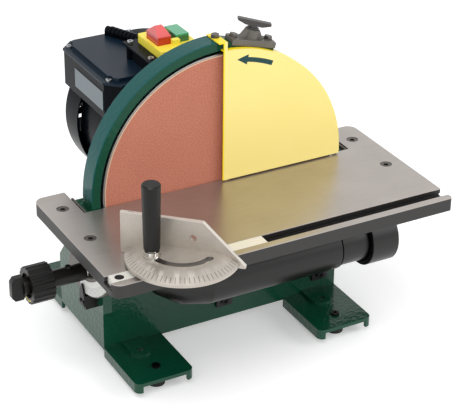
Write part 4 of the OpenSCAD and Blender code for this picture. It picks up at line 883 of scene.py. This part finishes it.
# %% Angle scale
SCALE_GAP, SCALE_CORE, SCALE_LINE_FADE = 2.5, 0.2 * MM, 0.4 * MM
SCALE_INNER, SCALE_OUTER, SCALE_FADE = 88 * MM, 98 * MM, 0.2 * MM
SCALE_WHITE, SCALE_INK = srgb(236, 236, 232), srgb(30, 30, 30)
SCALE_GRAIN, SCALE_ROUGH = 60, (0.35, 0.45)


def angle_scale():
    """A white strip with dark lines."""
    finish = Finish("angle_scale", SCALE_WHITE, roughness=0.4)
    _, y, z = finish.place(TILT)
    radius, angle = around(y, z)
    divided = lines(radius, angle, SCALE_GAP, SCALE_CORE, SCALE_LINE_FADE)
    divided = divided * band(radius, SCALE_INNER, SCALE_OUTER, SCALE_FADE)
    finish.vary("Base Color", finish.mix(divided, SCALE_WHITE, SCALE_INK))
    finish.vary("Roughness", between(finish.noise(SCALE_GRAIN), *SCALE_ROUGH))
    return finish


dress(angle_scale(), "angle_scale")
print("scale with a line every", SCALE_GAP, "degrees")

# %% [markdown]
# ## Brake, trunnions and small pieces
# The brake and the trunnions are bare cast iron with a dull grey skin. Sand leaves it rough, so it is
# the plastics' helper again with some metal in it and a deeper relief. The pieces inside the motor
# hardly show, so each has one plain finish.

# %% Small pieces
IRON = dict(grain=320, spread=0.4, Metallic=0.4)
brake_iron = grained("brake_iron", srgb(102, 98, 92), roughness=0.45, depth=0.8, **IRON)
dress(brake_iron, rounded("brake_bracket", width=0.4), "trunnion_left", "trunnion_right")
handle_iron = grained("handle_iron", srgb(70, 68, 66), roughness=0.42, depth=0.6, **IRON)
dress(handle_iron, softened("brake_plunger", angle=35))
dress(grained("lining", srgb(88, 74, 58), roughness=0.85, grain=900, depth=0.3), "brake_pad")
blank_plate = grained(
    "blank_plate", srgb(108, 117, 123), roughness=0.36, grain=900, depth=0.05, spread=0.06, Metallic=0.7
)
dress(blank_plate, "rating_plate")
windings = grained(
    "windings", srgb(164, 92, 52), roughness=0.35, grain=1200, depth=0.3, Metallic=0.6
)
dress(windings, "stator_windings")
dress(grained("can", srgb(214, 212, 206), roughness=0.35, grain=600, depth=0.1), "start_capacitor")
print("brake, trunnions and inner pieces")

# %% [markdown]
# ## Screws
# Screws are zinc plated or blacked, and the ones on the table and the ring are worn to grey. Each could
# be dressed by name, but its slot already says what it is, so a loop dresses them all and only the
# worn ones are named.

# %% Screws
zinc = worked_steel("zinc", srgb(182, 184, 186), roughness=0.32)
black_screw = worked_steel("black_screw", srgb(46, 46, 48), roughness=0.38)
worn_screw = worked_steel("worn_screw", srgb(112, 108, 104), roughness=0.4)
SCREW_FINISH = {"zinc_fasteners": zinc, "black_screws": black_screw}
for node, slot in SLOT_OF.items():
    if slot in SCREW_FINISH:
        dress(SCREW_FINISH[slot], node)
dress(worn_screw, "trunnion_screws", "ring_bolts")
dress(black_screw, "scale_pointer")
print("screws dressed by their slots:", ", ".join(SCREW_FINISH))

# %% [markdown]
# ## Seals of the dust outlet
# Where the outlet plugs into the chute, and where its collar is pushed on, a soft black ring closes the
# joint. Each is a plain ring laid in the groove that the solid leaves for it, and rubber hardly shines,
# so the joints read as dark lines.

# %% Seal rings
SEAL_RADIUS, SEAL_THICK, SEAL_OFF = 30.4 * MM, 1.3 * MM, 1.2 * MM
SEAL_AROUND, SEAL_ACROSS, SEAL_SMOOTH = 96, 16, 60
COLLAR_HALF, OUTLET_LENGTH = 18.75 * MM, 41.5 * MM
MOUNTS = frame["record"]["mounts"]
OUTLET_AXIS = next(Vector(m["pos_m"]) for m in MOUNTS if m["name"] == "hose_collar")
COLLAR_START = OUTLET_AXIS.x - COLLAR_HALF
CHUTE_END = COLLAR_START - OUTLET_LENGTH

seal_rubber = grained(
    "seal_rubber", srgb(9, 9, 9), roughness=0.8, grain=900, depth=0.1, Specular_IOR_Level=0.0
)
for name, place in (("chute_seal", CHUTE_END + SEAL_OFF), ("collar_seal", COLLAR_START - SEAL_OFF)):
    bpy.ops.mesh.primitive_torus_add(
        major_radius=SEAL_RADIUS, minor_radius=SEAL_THICK,
        major_segments=SEAL_AROUND, minor_segments=SEAL_ACROSS,
        location=(place, OUTLET_AXIS.y, OUTLET_AXIS.z), rotation=(0, math.pi / 2, 0),
    )
    seal = bpy.context.object
    seal.name = name
    only(seal)
    bpy.ops.object.transform_apply(location=True, rotation=True)
    smooth(seal, SEAL_SMOOTH)
    keep(seal, "base", "rubber_black")
    dress(seal_rubber, seal)
print("seal rings at", round(CHUTE_END / MM, 1), "and", round(COLLAR_START / MM, 1), "mm")

# %% [markdown]
# ## Screw in the gauge's bar
# A flat screw sits in the counterbore near the bar's left end, a little below the bar's top. A turned
# disc is a cylinder, so it is added as one, and a Bevel modifier rounds its edges. Its place follows
# from the bar's own box, so it stays right if the bar changes.

# %% Bar screw
BAR_LOW, BAR_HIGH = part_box("mitre_bar")
SCREW_IN, SCREW_SUNK = 10 * MM, 0.2 * MM
SCREW_RADIUS, SCREW_TALL, SCREW_SIDES = 5.1 * MM, 2.8 * MM, 48
SCREW_EDGE, SCREW_SMOOTH = 0.5 * MM, 40

bpy.ops.mesh.primitive_cylinder_add(
    vertices=SCREW_SIDES, radius=SCREW_RADIUS, depth=SCREW_TALL,
    location=(
        BAR_LOW[0] + SCREW_IN,
        (BAR_LOW[1] + BAR_HIGH[1]) / 2,
        BAR_HIGH[2] - SCREW_SUNK - SCREW_TALL / 2,
    ),
)
bar_screw = bpy.context.object
bar_screw.name = "bar_screw"
only(bar_screw)
bpy.ops.object.transform_apply(location=True)
edge = bar_screw.modifiers.new("rounding", "BEVEL")
edge.width = SCREW_EDGE
edge.segments = ROUND_SEGMENTS
bpy.ops.object.modifier_apply(modifier=edge.name)
smooth(bar_screw, SCREW_SMOOTH)
keep(bar_screw, BODY_OF["mitre_bar"], "black_screws")
dress(black_screw, bar_screw)
print("bar screw", round(SCREW_RADIUS * 2 / MM, 1), "mm across")

# %% [markdown]
# ## Last look
# Every solid that still shows must have a finish, so any without one are listed. The box of what shows
# must stay inside the box of the solids.

# %% Solids without a finish
bare = [
    node for node, solid in frame["nodes"].items()
    if node not in STOOD_FOR and solid.name not in DRESSED
]
print("solids without a finish of their own:", bare)
